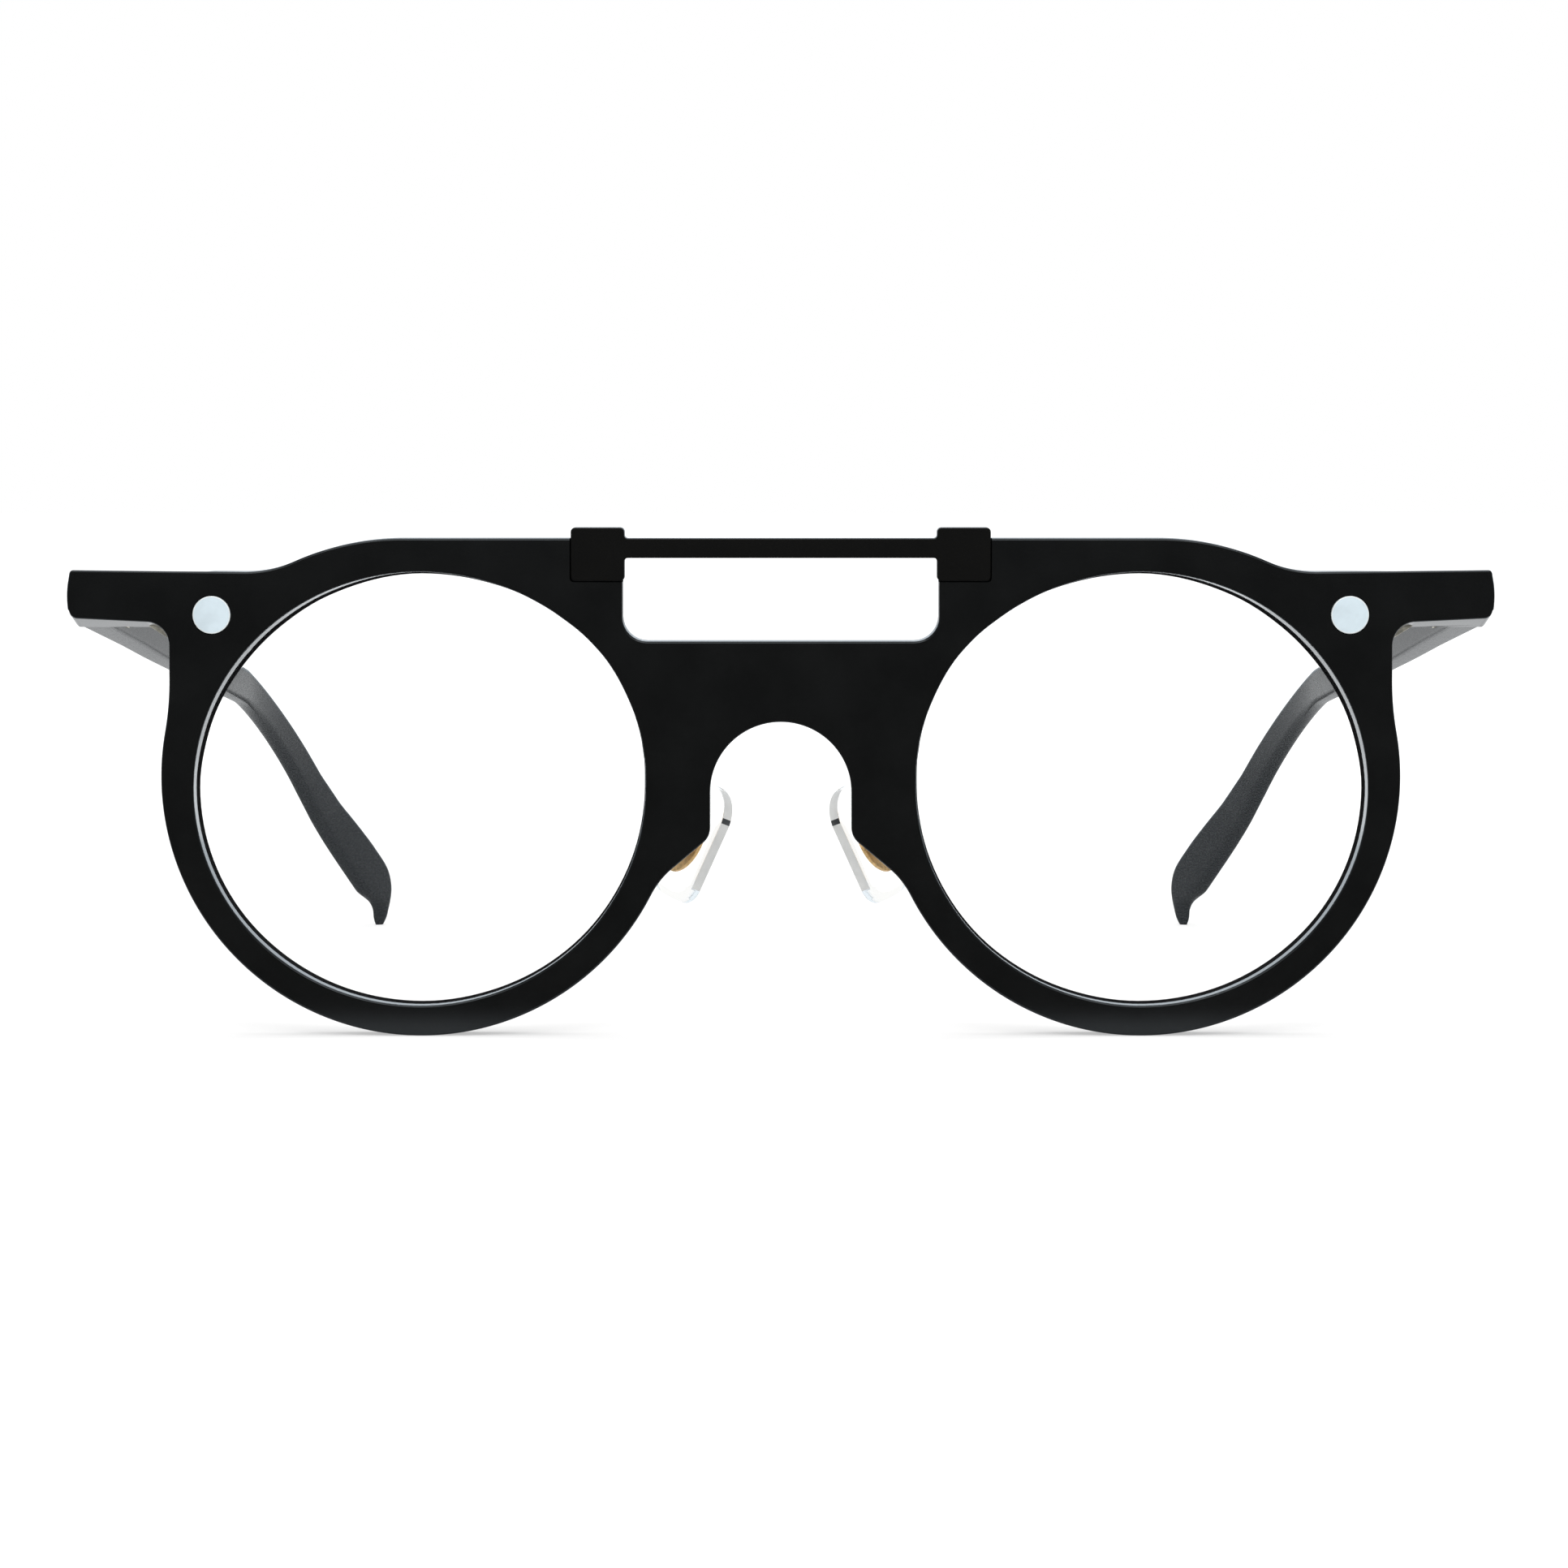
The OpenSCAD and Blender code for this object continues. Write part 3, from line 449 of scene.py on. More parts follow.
# Behind the lens the opening is a little smaller over its upper outer part.
lip_angles = (0, 60, 90, 115, 130, 140, 165, 180, 224, 251, 298, 360)
lip_narrow = (0, 0, 0.1, 0.32, 0.43, 0.43, 0.26, 0.11, -0.02, -0.07, -0.07, 0)


def eased(at_value, steps, values):
    """The value of a table between its steps, eased, and its last value beyond them."""
    for i in range(len(steps) - 1):
        if at_value <= steps[i + 1]:
            t = max(0, (at_value - steps[i]) / (steps[i + 1] - steps[i]))
            return values[i] + (values[i + 1] - values[i]) * t * t * (3 - 2 * t)
    return values[-1]


# From the front the opening is not quite oval: it is a little fuller at the top and beside the nose.
full_angles = (0, 9, 15, 21, 37, 43, 53, 61, 75, 90, 110, 140, 200, 240, 270, 290, 310, 335, 350, 360)
full_widths = (0, 0.155, 0.27, 0.33, 0.51, 0.47, 0.33, 0.28, 0.18, 0.19, 0.16, 0.13, 0.13, 0.12, 0.1, 0.02, 0,
               -0.07, -0.05, 0)


def lip(angle):
    """How much narrower the back lip of the rim is, by the angle from the nose side over the top."""
    return eased(angle, lip_angles, lip_narrow)


def round_peg(name, x, z, r, y0, y1, steps=48):
    """A plain round bar that runs backwards from the depth y0 to y1."""
    return cylinder(name, r * MM, (y1 - y0) * MM, at(x, (y0 + y1) / 2, z), steps, pi / 2)


block_in, block_size, block_top, block_depth, block_corner = 15.9, 5.45, 51.9, 2.6, 0.45
block_gap, recess_room, rivet_gap, leaf_gap, front_barrel_gap = 0.11, 0.05, 0.07, 0.03, 0.1
hinge_x, hinge_y, hinge_z, hinge_h, barrel_r = 67.25, 6.2, 43.9845, 4.2, 1.3
hinge_low, hinge_top = hinge_z - hinge_h / 2, hinge_z + hinge_h / 2
leaf_dip_x, leaf_dip_z, leaf_dip_run, leaf_in_by, leaf_in_up = 62.55, 40.35, 2.4, 0.2, 0.1
over = 1


def clear_barrel(piece, side, gap):
    """Mills room round the barrel of the hinge, from top to bottom."""
    cut(piece, cylinder("barrel_space", (barrel_r + gap) * MM, 14 * MM, at(side * hinge_x, hinge_y, hinge_z)))


for side in (-1, 1):
    cut(front, cylinder("opening", 1, 12 * MM, at(side * lens_c.x, 0, lens_c.y), 192, pi / 2,
                        (lens_a * MM, lens_b * MM, 1)))
    x0, z0 = block_in - block_gap, block_top - block_size - block_gap
    x1, r = x0 + block_size + 2 * block_gap, block_corner
    recess = trace("recess", [at(side * p.x, -over, p.y) for p in (
        [Vector((x0, block_top + over)), Vector((x0, z0 + r))] + arc((x0 + r, z0 + r), r, 180, 270, 5)
        + arc((x1 - r, z0 + r), r, 270, 360, 5) + [Vector((x1, block_top + over))])])
    draw_out(0, over + block_depth + recess_room, 0)
    face_outwards()
    cut(front, recess)
    cut(front, round_peg("counterbore", side * rivet_x, rivet_z, rivet_r + rivet_gap, -over, rivet_t, 64))
    leaf = [(side_x - leaf_in_by, hinge_top), (hinge_x, hinge_top), (hinge_x, hinge_low - leaf_gap),
            (leaf_dip_x + leaf_dip_run, hinge_low - leaf_gap), (leaf_dip_x, leaf_dip_z),
            (side_x - leaf_in_by, leaf_dip_z + leaf_in_up)]
    pocket = trace("pocket", [at(side * x, plate_t + 0.003, z) for x, z in leaf])
    draw_out(0, end_back + over, 0)
    face_outwards()
    cut(front, pocket)
    clear_barrel(front, side, front_barrel_gap)


def lens_place(co):
    """Distance from the lens middle, where 1 is the edge of the opening, and the angle from the nose up."""
    x, z = (abs(co.x) / MM - lens_c.x) / lens_a, (co.z / MM - lens_c.y) / lens_b
    return sqrt(x * x + z * z), degrees(atan2(z, -x)) % 360


beside = 0.3
hinge_place = (rivet_x - 2.2, hinge_x + 1.6, hinge_low - 1.8, hinge_top + 0.4)


def is_tumbled(e):
    """The outer edges of the front and those of the lens openings, but not those of the milled places."""
    if not e.is_manifold or e.calc_face_angle() < radians(50):
        return False
    if not any(on_plane(e, at(0, y, 0).y) for y in (0, plate_t, plate_t + end_back)):
        return False
    middle = (e.verts[0].co + e.verts[1].co) / 2
    x, y, z = abs(middle.x) / MM, (middle.y - FACE_Y) / MM, middle.z / MM
    x_in, x_out, z_low, z_top = hinge_place
    on_block = (y < block_depth + beside / 3 and block_in - beside < x < block_in + block_size + beside
                and z > block_top - block_size - beside)
    on_rivet = sqrt((x - rivet_x) ** 2 + (z - rivet_z) ** 2) < rivet_r + beside
    on_hinge = y > plate_t - beside / 3 and x_in < x < x_out and z_low < z < z_top
    return not (on_block or on_rivet or on_hinge)


pick(front, edit=True)
select_whole()
bpy.ops.mesh.remove_doubles(threshold=0.05 * MM)
mesh = mesh_of(front)
for v in mesh.verts:
    out, angle = lens_place(v.co)
    if abs(out - 1) < 0.002 and v.co.y < at(0, plate_t + 0.001, 0).y:
        toward = Vector((lens_c.x * (1 if v.co.x > 0 else -1) - v.co.x / MM, 0, lens_c.y - v.co.z / MM))
        narrower = lip(angle) if v.co.y > at(0, plate_t / 2, 0).y else 0
        v.co += toward.normalized() * (narrower - eased(angle, full_angles, full_widths)) * MM
bmesh.update_edit_mesh(front.data)
at_joint = at(0, plate_t + end_back, 0).y
select(front, lambda e: is_tumbled(e) and not on_plane(e, at_joint), "edges")
round_edges(edge_r, 3)
select(front, lambda e: is_tumbled(e) and on_plane(e, at_joint), "edges")
round_edges(joint_edge, 2)
finish_mesh(front)


def noise(tree, scale, detail, roughness=0.5, stretch=None):
    """A fine natural pattern through the piece, between 0 and 1, finer along some axes if stretched."""
    place = add(tree, "ShaderNodeTexCoord").outputs["Object"]
    if stretch:
        place = add(tree, "ShaderNodeMapping", {"Vector": place, "Scale": stretch}).outputs[0]
    return add(tree, "ShaderNodeTexNoise", {
        "Vector": place, "Scale": scale, "Detail": detail, "Roughness": roughness}).outputs["Fac"]


def two_tone(tree, shader, pattern, dark, light, stops=(0, 1)):
    """Lets a pattern take the colour from dark to light."""
    ramp = add(tree, "ShaderNodeValToRGB", {"Fac": pattern})
    for i, colour in enumerate((dark, light)):
        ramp.color_ramp.elements[i].position = stops[i]
        ramp.color_ramp.elements[i].color = (*colour, 1)
    tree.links.new(ramp.outputs["Color"], shader.inputs["Base Color"])


def worked(tree, shader, pattern, rough, strength, height, given=(0, 1)):
    """Lets a pattern vary the roughness, and gives it a little height."""
    tree.links.new(spread(tree, pattern, given, rough), shader.inputs["Roughness"])
    bump = add(tree, "ShaderNodeBump", {"Strength": strength, "Distance": height * MM, "Height": pattern})
    tree.links.new(bump.outputs[0], shader.inputs["Normal"])


def settle(shader, values):
    """Sets inputs of a shader by their names."""
    for key, value in values.items():
        shader.inputs[key].default_value = value


def acetate(name, base, rough, mottle, shine):
    """Cellulose acetate: deep colour with faint clouds, polished, with fine polishing marks."""
    material, tree, shader = new_material(name)
    two_tone(tree, shader, noise(tree, 180.0, 4.0, 0.55), [c * (1 - mottle) for c in base],
             [c * (1 + mottle) for c in base], (0.35, 0.7))
    marks = noise(tree, 1.0, 3.0, stretch=(2600.0, 900.0, 3400.0))
    worked(tree, shader, marks, (rough * 0.85, rough * 1.2), 0.05, 0.003)
    settle(shader, {"IOR": 1.48, "Specular IOR Level": shine, "Specular Tint": (0.86, 0.94, 1.0, 1)})
    return material


front_acetate = acetate("black_front_acetate", (0.0078, 0.0082, 0.0082), 0.12, 0.15, 0.4)
coat(front, front_acetate)
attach(front, "front")
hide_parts("front_frame")

# The bar over the slot and its two square blocks are one piece of steel with a black coating. The
# blocks sit in milled recesses of the front, and a screw from the back holds each of them.
bar_h, bar_fillet, block_edge = 2, 0.35, 0.12
bar_low = brow_z - bar_h
fillet_x, r = block_in - bar_fillet, block_corner
x0, x1 = block_in + r, block_in + block_size - r
z0, z1 = block_top - block_size + r, block_top - r
half_bar = (
    [Vector((0, bar_low))] + arc((fillet_x, bar_low - bar_fillet), bar_fillet, 90, 0, 5)
    + arc((x0, z0), r, 180, 270, 5) + arc((x1, z0), r, 270, 360, 5)
    + arc((x1, z1), r, 0, 90, 5) + arc((x0, z1), r, 90, 180, 5)
    + arc((fillet_x, brow_z + bar_fillet), bar_fillet, 0, -90, 5) + [Vector((0, brow_z))]
)
bar = trace("top_bar_and_blocks", [at(p.x, 0, p.y) for p in half_bar + mirrored(half_bar)[1:-1]])
draw_out(0, block_depth, 0)
face_outwards()
select(bar, lambda e: on_plane(e, at(0, 0, 0).y) or on_plane(e, at(0, block_depth, 0).y), "edges")
round_edges(block_edge, 3)
clear_selection()
screw_x, screw_z, screw_r = block_in + block_size / 2, block_top - block_size / 2, 0.6
for side in (-1, 1):
    cut(bar, round_peg("tapped_hole", side * screw_x, screw_z, screw_r + 0.03, 1.1, 3, 24))
finish_mesh(bar)

bar_metal, tree, shader = new_material("black_coated_steel")
two_tone(tree, shader, noise(tree, 260.0, 3.0), (0.0042, 0.0042, 0.0039), (0.006, 0.0059, 0.0054))
worked(tree, shader, noise(tree, 5200.0, 2.0), (0.2, 0.3), 0.12, 0.008)
settle(shader, {"Specular IOR Level": 0.25})
coat(bar, bar_metal)
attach(bar, "front")
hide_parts("top_bar")

# Two slotted screws of dark steel go through the front from the back into the blocks of the bar.
# They are turned from rod, and a blade mills the slot across each head.
slot_share, screw_edge = 0.24, 0.1


def slotted_screw(name, place, head_r, head_t, shank_r, shank_l):
    """A turned screw: place takes its own axes, head up, to the glasses. Its slot is milled across."""
    screw = cylinder(name, head_r * MM, head_t * MM, (0, 0, head_t * MM / 2))
    bpy.ops.object.mode_set(mode="EDIT")
    select(screw, lambda f: f.normal.z < -0.9, "faces")
    bpy.ops.mesh.inset(thickness=(head_r - shank_r) * MM)
    draw_out(0, 0, -shank_l)
    select(screw, lambda e: all(v.co.z > (head_t - 0.001) * MM for v in e.verts)
           or all(v.co.z < -(shank_l - 0.001) * MM for v in e.verts), "edges")
    round_edges(screw_edge, 2)
    clear_selection()
    bpy.ops.mesh.primitive_cube_add(size=1, location=(0, 0, head_t * MM), scale=(
        3 * head_r * MM, head_r * slot_share * MM, head_t * MM))
    blade = applied("blade")
    cut(screw, blade)
    screw.data.transform(place)
    finish_mesh(screw, 30)
    return screw


def joined(name, parts):
    """Joins parts into one object under a name."""
    clear_selection()
    for part in parts:
        part.select_set(True)
    bpy.context.view_layer.objects.active = parts[0]
    bpy.ops.object.join()
    parts[0].name = name
    return parts[0]


def metal(name, base, rough, grain_scale, metallic=1.0, stretch=(1, 1, 1), stained=0.12, stain_scale=420.0):
    """Bare metal with fine grain: its colour and gloss vary a little, and the grain has some depth."""
    material, tree, shader = new_material(name)
    darker = [c * (1 - stained) for c in base]
    two_tone(tree, shader, noise(tree, stain_scale, 3.0), darker, base, (0.35, 0.6))
    grain = noise(tree, 1.0, 4.0, 0.6, [grain_scale * k for k in stretch])
    worked(tree, shader, grain, (rough * 0.8, rough * 1.25), 0.1, 0.004)
    settle(shader, {"Metallic": metallic})
    return material


screw_steel = metal("dark_screw_steel", (0.16, 0.165, 0.17), 0.32, 5000)
screws = []
for side in (-1, 1):
    out_of_back = Matrix.Translation(at(side * screw_x, plate_t, screw_z)) @ turned(-90, "X")
    screws.append(slotted_screw("bar_screw", out_of_back, 1.1, 0.6, screw_r, 2.87))
bar_screws = joined("bar_screws_from_the_back", screws)
coat(bar_screws, screw_steel)
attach(bar_screws, "front")
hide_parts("bar_screws")

# The lenses are clear resin, pressed into a groove of the rims. Each is a shallow shell that bends
# round the eye. Its edge is near-black without gloss, a painted shade for the dark band in the rim behind the
# bright wall in front of it.
lens_t, lens_curve, lens_gap, lens_middle = 1.8, 265, 0.03, 2.9
edge_land, ridge_slope, ridge_out = 0.45, 0.05, 0.425
lens_sag = lens_a ** 2 / 2 / lens_curve
lens_front_y = lens_middle - lens_sag / 2 - lens_t / 2


def lens_depth(x, z):
    """How far the front face of the lens lies behind the front of the plate."""
    return lens_front_y + (x * x + z * z) / 2 / lens_curve


clear_selection()
bpy.ops.mesh.primitive_circle_add(vertices=144, radius=1, fill_type="NOTHING", rotation=(pi / 2, 0, 0))
lens = applied("lens")
bpy.ops.object.mode_set(mode="EDIT")
bpy.ops.mesh.select_mode(type="VERT")
select_whole()
bpy.ops.transform.resize(value=((lens_a - lens_gap) * MM, 1, (lens_b - lens_gap) * MM),
                         center_override=(0, 0, 0))
ring_shrink = (0.985, 0.94, 0.88, 0.8, 0.7, 0.55, 0.35, 0.15)
last = 1
for ring in ring_shrink:
    bpy.ops.mesh.extrude_edges_move()
    bpy.ops.transform.resize(value=(ring / last,) * 3, center_override=(0, 0, 0))
    last = ring
bpy.ops.mesh.edge_face_add()
for v in mesh_of(lens).verts:
    x, z = v.co.x / MM, v.co.z / MM
    v.co = at(lens_c.x + x, lens_depth(x, z), lens_c.y + z)
face_outwards()
if sum(f.normal.y for f in mesh_of(lens).faces) > 0:
    bpy.ops.mesh.flip_normals()
pick(lens)
shell = lens.modifiers.new("lens_thickness", "SOLIDIFY")
shell.thickness = lens_t * MM
shell.offset = -1
bpy.ops.object.modifier_apply(modifier=shell.name)
bpy.ops.object.mode_set(mode="EDIT")

# The edge follows the opening and the lip of the rim, and a low ridge on it sits inside the rim.
for v in mesh_of(lens).verts:
    out, angle = lens_place(v.co)
    if out > 0.99:
        toward = Vector((lens_c.x - v.co.x / MM, 0, lens_c.y - v.co.z / MM)).normalized()
        depth = (v.co.y - FACE_Y) / MM
        v.co += toward * (lip(angle) * min(1, depth / plate_t) - eased(angle, full_angles, full_widths)) * MM
bmesh.update_edit_mesh(lens.data)
face_outwards()
# The faces round the lens edge take the second material, the painted shade.
select(lens, lambda f: abs(f.normal.y) < 0.6 and lens_place(f.calc_center_median())[0] > 0.97, "faces")
for f in mesh_of(lens).faces:
    f.material_index = 1 if f.select else 0
bpy.ops.mesh.inset(thickness=edge_land * MM, use_even_offset=True)
bpy.ops.mesh.inset(thickness=ridge_slope * MM, depth=ridge_out * MM, use_even_offset=True)
clear_selection()


def second(piece):
    """A copy of the piece, with its own mesh, for the other side."""
    other = piece.copy()
    other.data = piece.data.copy()
    bpy.context.collection.objects.link(other)
    return other


def turn_over(piece):
    """Makes the piece its own mirror image, on the other side of the glasses."""
    pick(piece, edit=True)
    select_whole()
    bpy.ops.transform.resize(value=(-1, 1, 1), center_override=(0, 0, 0))
    bpy.ops.mesh.normals_make_consistent(inside=False)
    bpy.ops.object.mode_set(mode="OBJECT")


def left_and_right(piece, label, angle=35):
    """Finishes the right piece, and a turned-over copy of it for the left, one after the other."""
    for side_piece, name in ((piece, "right"), (second(piece), "left")):
        side_piece.name = name + label
        if name == "left":
            turn_over(side_piece)
        finish_mesh(side_piece, angle)
        yield side_piece, name


def clear_plastic(name, tint, rough, ior, marks_scale, marks):
    """Clear resin: it bends and mirrors light, lets lamp light through, and has faint wipe marks."""
    material, tree, shader = new_material(name)
    wiped = noise(tree, marks_scale, 5.0)
    worked(tree, shader, wiped, (rough, rough + marks), 0.02, 0.01, (0.45, 0.75))
    settle(shader, {"Base Color": (*tint, 1), "Transmission Weight": 1, "IOR": ior})
    path = add(tree, "ShaderNodeLightPath").outputs
    lets_through = reckon(tree, "MAXIMUM", path["Is Shadow Ray"], path["Is Diffuse Ray"])
    open_way = add(tree, "ShaderNodeBsdfTransparent", {"Color": (*tint, 1)})
    mixed = add(tree, "ShaderNodeMixShader", {0: lets_through, 1: shader.outputs[0], 2: open_way.outputs[0]})
    tree.links.new(mixed.outputs[0], tree.nodes["Material Output"].inputs["Surface"])
    return material


lens_clear = clear_plastic("clear_lens_resin", (0.995, 0.998, 0.996), 0.0, 1.2, 900.0, 0.004)
# The lens edge is near-black with no gloss: painted shade, standing for the shadow in the rim's groove behind
# the lens.
shade_painted_lens_edge, tree, shader = new_material("lens_edge_painted_shade")
worked(tree, shader, noise(tree, 7000.0, 3.0), (0.5, 0.7), 0.2, 0.03)
settle(shader, {"Base Color": (0.016, 0.016, 0.017, 1), "Specular IOR Level": 0.0})
for piece, name in left_and_right(lens, "_clear_lens", 30):
    coat(piece, lens_clear, shade_painted_lens_edge)
    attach(piece, "front")
    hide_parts(name + "_lens")

# A nickel rivet goes through each endpiece. Its head is a flat disc, level with the front face in a
# round counterbore; its turned edge is coloured paler than the head, a painted highlight; its tail is closed
# over the hinge leaf behind.
rivet_chamfer, rivet_shank, rivet_tail, rivet_tail_t, rivet_sunk = 0.13, 0.9, 1.3, 0.4, 0.03
head_t = rivet_t - rivet_sunk
rivet = round_peg("rivet", rivet_x, rivet_z, rivet_r, 0, head_t, 96)
bpy.ops.object.mode_set(mode="EDIT")
select(rivet, lambda f: f.normal.y > 0.9, "faces")
bpy.ops.mesh.inset(thickness=(rivet_r - rivet_shank) * MM)
draw_out(0, plate_t + end_back - head_t, 0)
bpy.ops.mesh.extrude_region_move()
bpy.ops.transform.resize(value=(rivet_tail / rivet_shank,) * 3,
                         center_override=at(rivet_x, plate_t + end_back, rivet_z))
draw_out(0, rivet_tail_t, 0)
tail_end = plate_t + end_back + rivet_tail_t
select(rivet, lambda e: on_plane(e, at(0, 0, 0).y) or on_plane(e, at(0, tail_end, 0).y), "edges")
round_edges(rivet_chamfer, 2)
clear_selection()
rivet_nickel = metal("satin_nickel", (0.80, 0.93, 1.0), 0.45, 3000, 0.15, (1, 1, 1))
# The paler nickel of the turned edge is a painted highlight, where the round edge catches the lamps.
rivet_rim_painted_highlight = metal("rivet_edge_painted_highlight", (0.94, 1.0, 1.0), 0.4, 3000, 0.1, (1, 1, 1))
for piece, name in left_and_right(rivet, "_round_rivet", 30):
    coat(piece, rivet_nickel, rivet_rim_painted_highlight)
    for face in piece.data.polygons:
        off = sqrt((abs(face.center.x) / MM - rivet_x) ** 2 + (face.center.z / MM - rivet_z) ** 2)
        # Faces of the rounded front edge of the head take the painted highlight.
        painted_highlight_ring = off > rivet_r - rivet_chamfer - 0.02 and face.center.y < at(0, 0.3, 0).y
        face.material_index = 1 if painted_highlight_ring else 0
    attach(piece, "front")
    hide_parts(name + "_rivet")

# The hinges are cut from nickel silver: a leaf with three rings, riveted to the front, and a leaf with
# two rings, let into the temple. Their edges are broken by a file.
def dressed(node, name, broken_edge, least=28):
    """A merged copy of a CAD solid with its sharp edges broken."""
    piece = second(frame["nodes"][node])
    piece.name = name
    piece.parent = None
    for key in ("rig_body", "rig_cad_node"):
        if key in piece:
            del piece[key]
    piece.data.materials.clear()
    piece.hide_set(False)
    piece.hide_render = False
    pick(piece, edit=True)
    bpy.ops.mesh.select_mode(type="VERT")
    select_whole()
    bpy.ops.mesh.remove_doubles(threshold=2e-6)
    bpy.ops.mesh.dissolve_limited(angle_limit=radians(0.8))
    bpy.ops.mesh.normals_make_consistent(inside=False)
    select(piece, lambda e: e.is_manifold and e.calc_face_angle() > radians(least), "edges")
    bpy.ops.mesh.bevel(offset=broken_edge * MM, segments=2, affect="EDGES", clamp_overlap=True)
    finish_mesh(piece, 30)
    return piece


hinge_nickel = metal("nickel_silver", (0.96, 0.92, 0.78), 0.3, 4200, 0.15, (1, 1, 1), 0.4, 1400.0)
for name in ("left", "right"):
    for node, label, body in (("_front_hinge", "_front_hinge_leaf", "front"),
                              ("_temple_hinge", "_temple_hinge_leaf", name + "_temple")):
        leaf = dressed(name + node, name + label, 0.07)
        coat(leaf, hinge_nickel)
        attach(leaf, body)
        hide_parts(name + node)

# The hinge pins and the leaf screws are turned from bright steel and slotted. A pin goes down through
# the five rings of each hinge, and two short screws hold each leaf in its pocket in the temple.
hinge_screw_r, hinge_screw_head, hinge_screw_t = 0.6, 1.1, 0.45
leaf_face, leaf_start, leaf_screw_at, leaf_in = 3.7 / 2 + 0.1, 0.6, (3.4, 6.9), 0.3
bright_steel = metal("bright_screw_steel", (0.56, 0.55, 0.52), 0.24, 5200)
temple_in, temple_c = 4.4, Vector((70.6, 5.3, end_mid - 5.3 * tan(radians(end_slope))))
for name, side in (("right", 1), ("left", -1)):
    pin = slotted_screw(name + "_hinge_pin", Matrix.Translation(at(side * hinge_x, hinge_y, hinge_top)),
                        hinge_screw_head, hinge_screw_t, hinge_screw_r, hinge_h)
    coat(pin, bright_steel)
    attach(pin, "front")
    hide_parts(name + "_hinge_screw")
    screws = []
    temple_axes = Matrix.Translation(at(*temple_c)) @ turned(-end_slope, "X") @ turned(temple_in, "Z")
    for y in leaf_screw_at:
        head_at = Vector((leaf_in - leaf_face, leaf_start + y, 0)) * MM
        into_temple = temple_axes @ Matrix.Translation(head_at) @ turned(-90, "Y")
        screws.append(slotted_screw("leaf_screw", into_temple, 0.9, leaf_in, 0.5, 1.9))
    pair = joined(name + "_screws_of_the_leaf", screws)
    if side < 0:
        turn_over(pair)
        finish_mesh(pair, 30)
    coat(pair, bright_steel)
    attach(pair, name + "_temple")
    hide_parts(name + "_leaf_screws")

# The temples are black acetate with a flat metal core. They are cut from sheet, thinned to the tip,
# bent down behind the ear and in towards the head, and tumbled round; a small foot ends each tip.
temple_w, tip_w, bend_h, neck_h, heel_h, bend_l = 3.7, 1.6, 4.1, 3.5, 3.8, 86
tip_slope, bend_r, tip_in, curve_r = 53, 34, 36, 50
heel_rise, heel_run, foot_w, neck_part = 4.3, 1.6, 0.9, 0.25
notch_up, under_turn, under_back, foot_flat = 0.6, 17, 0.7, 0.35
top_round, under_round, notch_round = 1.6, 0.8, 0.5
butt_y = temple_c.y - 0.04
bend_start = Vector((butt_y, temple_c.z)) + bend_l * polar(-end_slope)
bend_c = bend_start - bend_r * polar(90 - end_slope)
bend_end = bend_c + bend_r * polar(90 - tip_slope)
tip_l = (bend_end.y - heel_rise + heel_h / 2 * cos(radians(tip_slope))) / sin(radians(tip_slope))
heel_c = bend_end + tip_l * polar(-tip_slope)
foot = Vector((heel_c.x + heel_h / 2 * sin(radians(tip_slope)) - heel_run, 0))
curve_late = 2.0
curve_y = bend_start.x + curve_late
curve_run = curve_r * (sin(radians(tip_in)) - sin(radians(temple_in)))
curve_end = curve_y + curve_run


def temple_angle(y, start):
    """How far the temple is turned in towards the head at a depth, in radians."""
    return asin(sin(radians(temple_in)) + (min(max(y, start), start + curve_run) - start) / curve_r)


def inward(y, start):
    """How far in towards the head the temple has come at a depth, when its curve begins at start."""
    return ((min(y, start) - butt_y) * tan(radians(temple_in))
            + curve_r * (cos(radians(temple_in)) - cos(temple_angle(y, start)))
            + max(y - start - curve_run, 0) * tan(radians(tip_in)))


def temple_x(y, across):
    """Distance of the temple's middle, or of its outer or inner face, from the middle of the glasses."""
    part = min(max((y - butt_y) / (curve_end - butt_y), 0), 1)
    half_wide = (temple_w + (tip_w - temple_w) * part) / 2 / cos(temple_angle(y, curve_y))
    return temple_c.x - inward(y, curve_y) + across * half_wide


bend_steps, straight_steps = 24, 16
rungs = []
for i in range(straight_steps):
    t = i / straight_steps
    rungs.append((Vector((butt_y, temple_c.z)) + bend_l * t * polar(-end_slope), end_slope,
                  end_h + (bend_h - end_h) * t))
for i in range(bend_steps + 1):
    a = end_slope + (tip_slope - end_slope) * i / bend_steps
    rungs.append((bend_c + bend_r * polar(90 - a), a, bend_h + (neck_h - bend_h) * i / bend_steps))
rungs.append((bend_end + tip_l * neck_part * polar(-tip_slope), tip_slope, neck_h))
low_line = [c - h / 2 * polar(90 - a) for c, a, h in rungs]
top_line = [c + h / 2 * polar(90 - a) for c, a, h in rungs]
notch = foot + Vector((-foot_w / 2, heel_rise * notch_up))
under = notch - polar(under_turn - tip_slope) * heel_h * under_back
heel = foot + Vector((heel_run, heel_rise))
foot_front, foot_back = [foot + Vector((way * foot_w * foot_flat, 0)) for way in (1, -1)]
top_tail = [top_line[-1]] + corner(top_line[-1], heel, foot_front, heel_rise * top_round, 14) + [foot_front]
low_tail = ([low_line[-1]] + corner(low_line[-1], under, notch, heel_rise * under_round, 14)
            + corner(under, notch, foot_back, heel_rise * notch_round, 14) + [foot_back])


def evenly(line, n):
    """n points at even steps along a line, its ends among them."""
    run = [0]
    for a, b in zip(line, line[1:]):
        run.append(run[-1] + (b - a).length)
    points = []
    for k in range(n):
        d = run[-1] * k / (n - 1)
        i = min(max(j for j in range(len(run)) if run[j] <= d + 1e-9), len(line) - 2)
        t = (d - run[i]) / max(run[i + 1] - run[i], 1e-9)
        points.append(line[i] + (line[i + 1] - line[i]) * t)
    return points


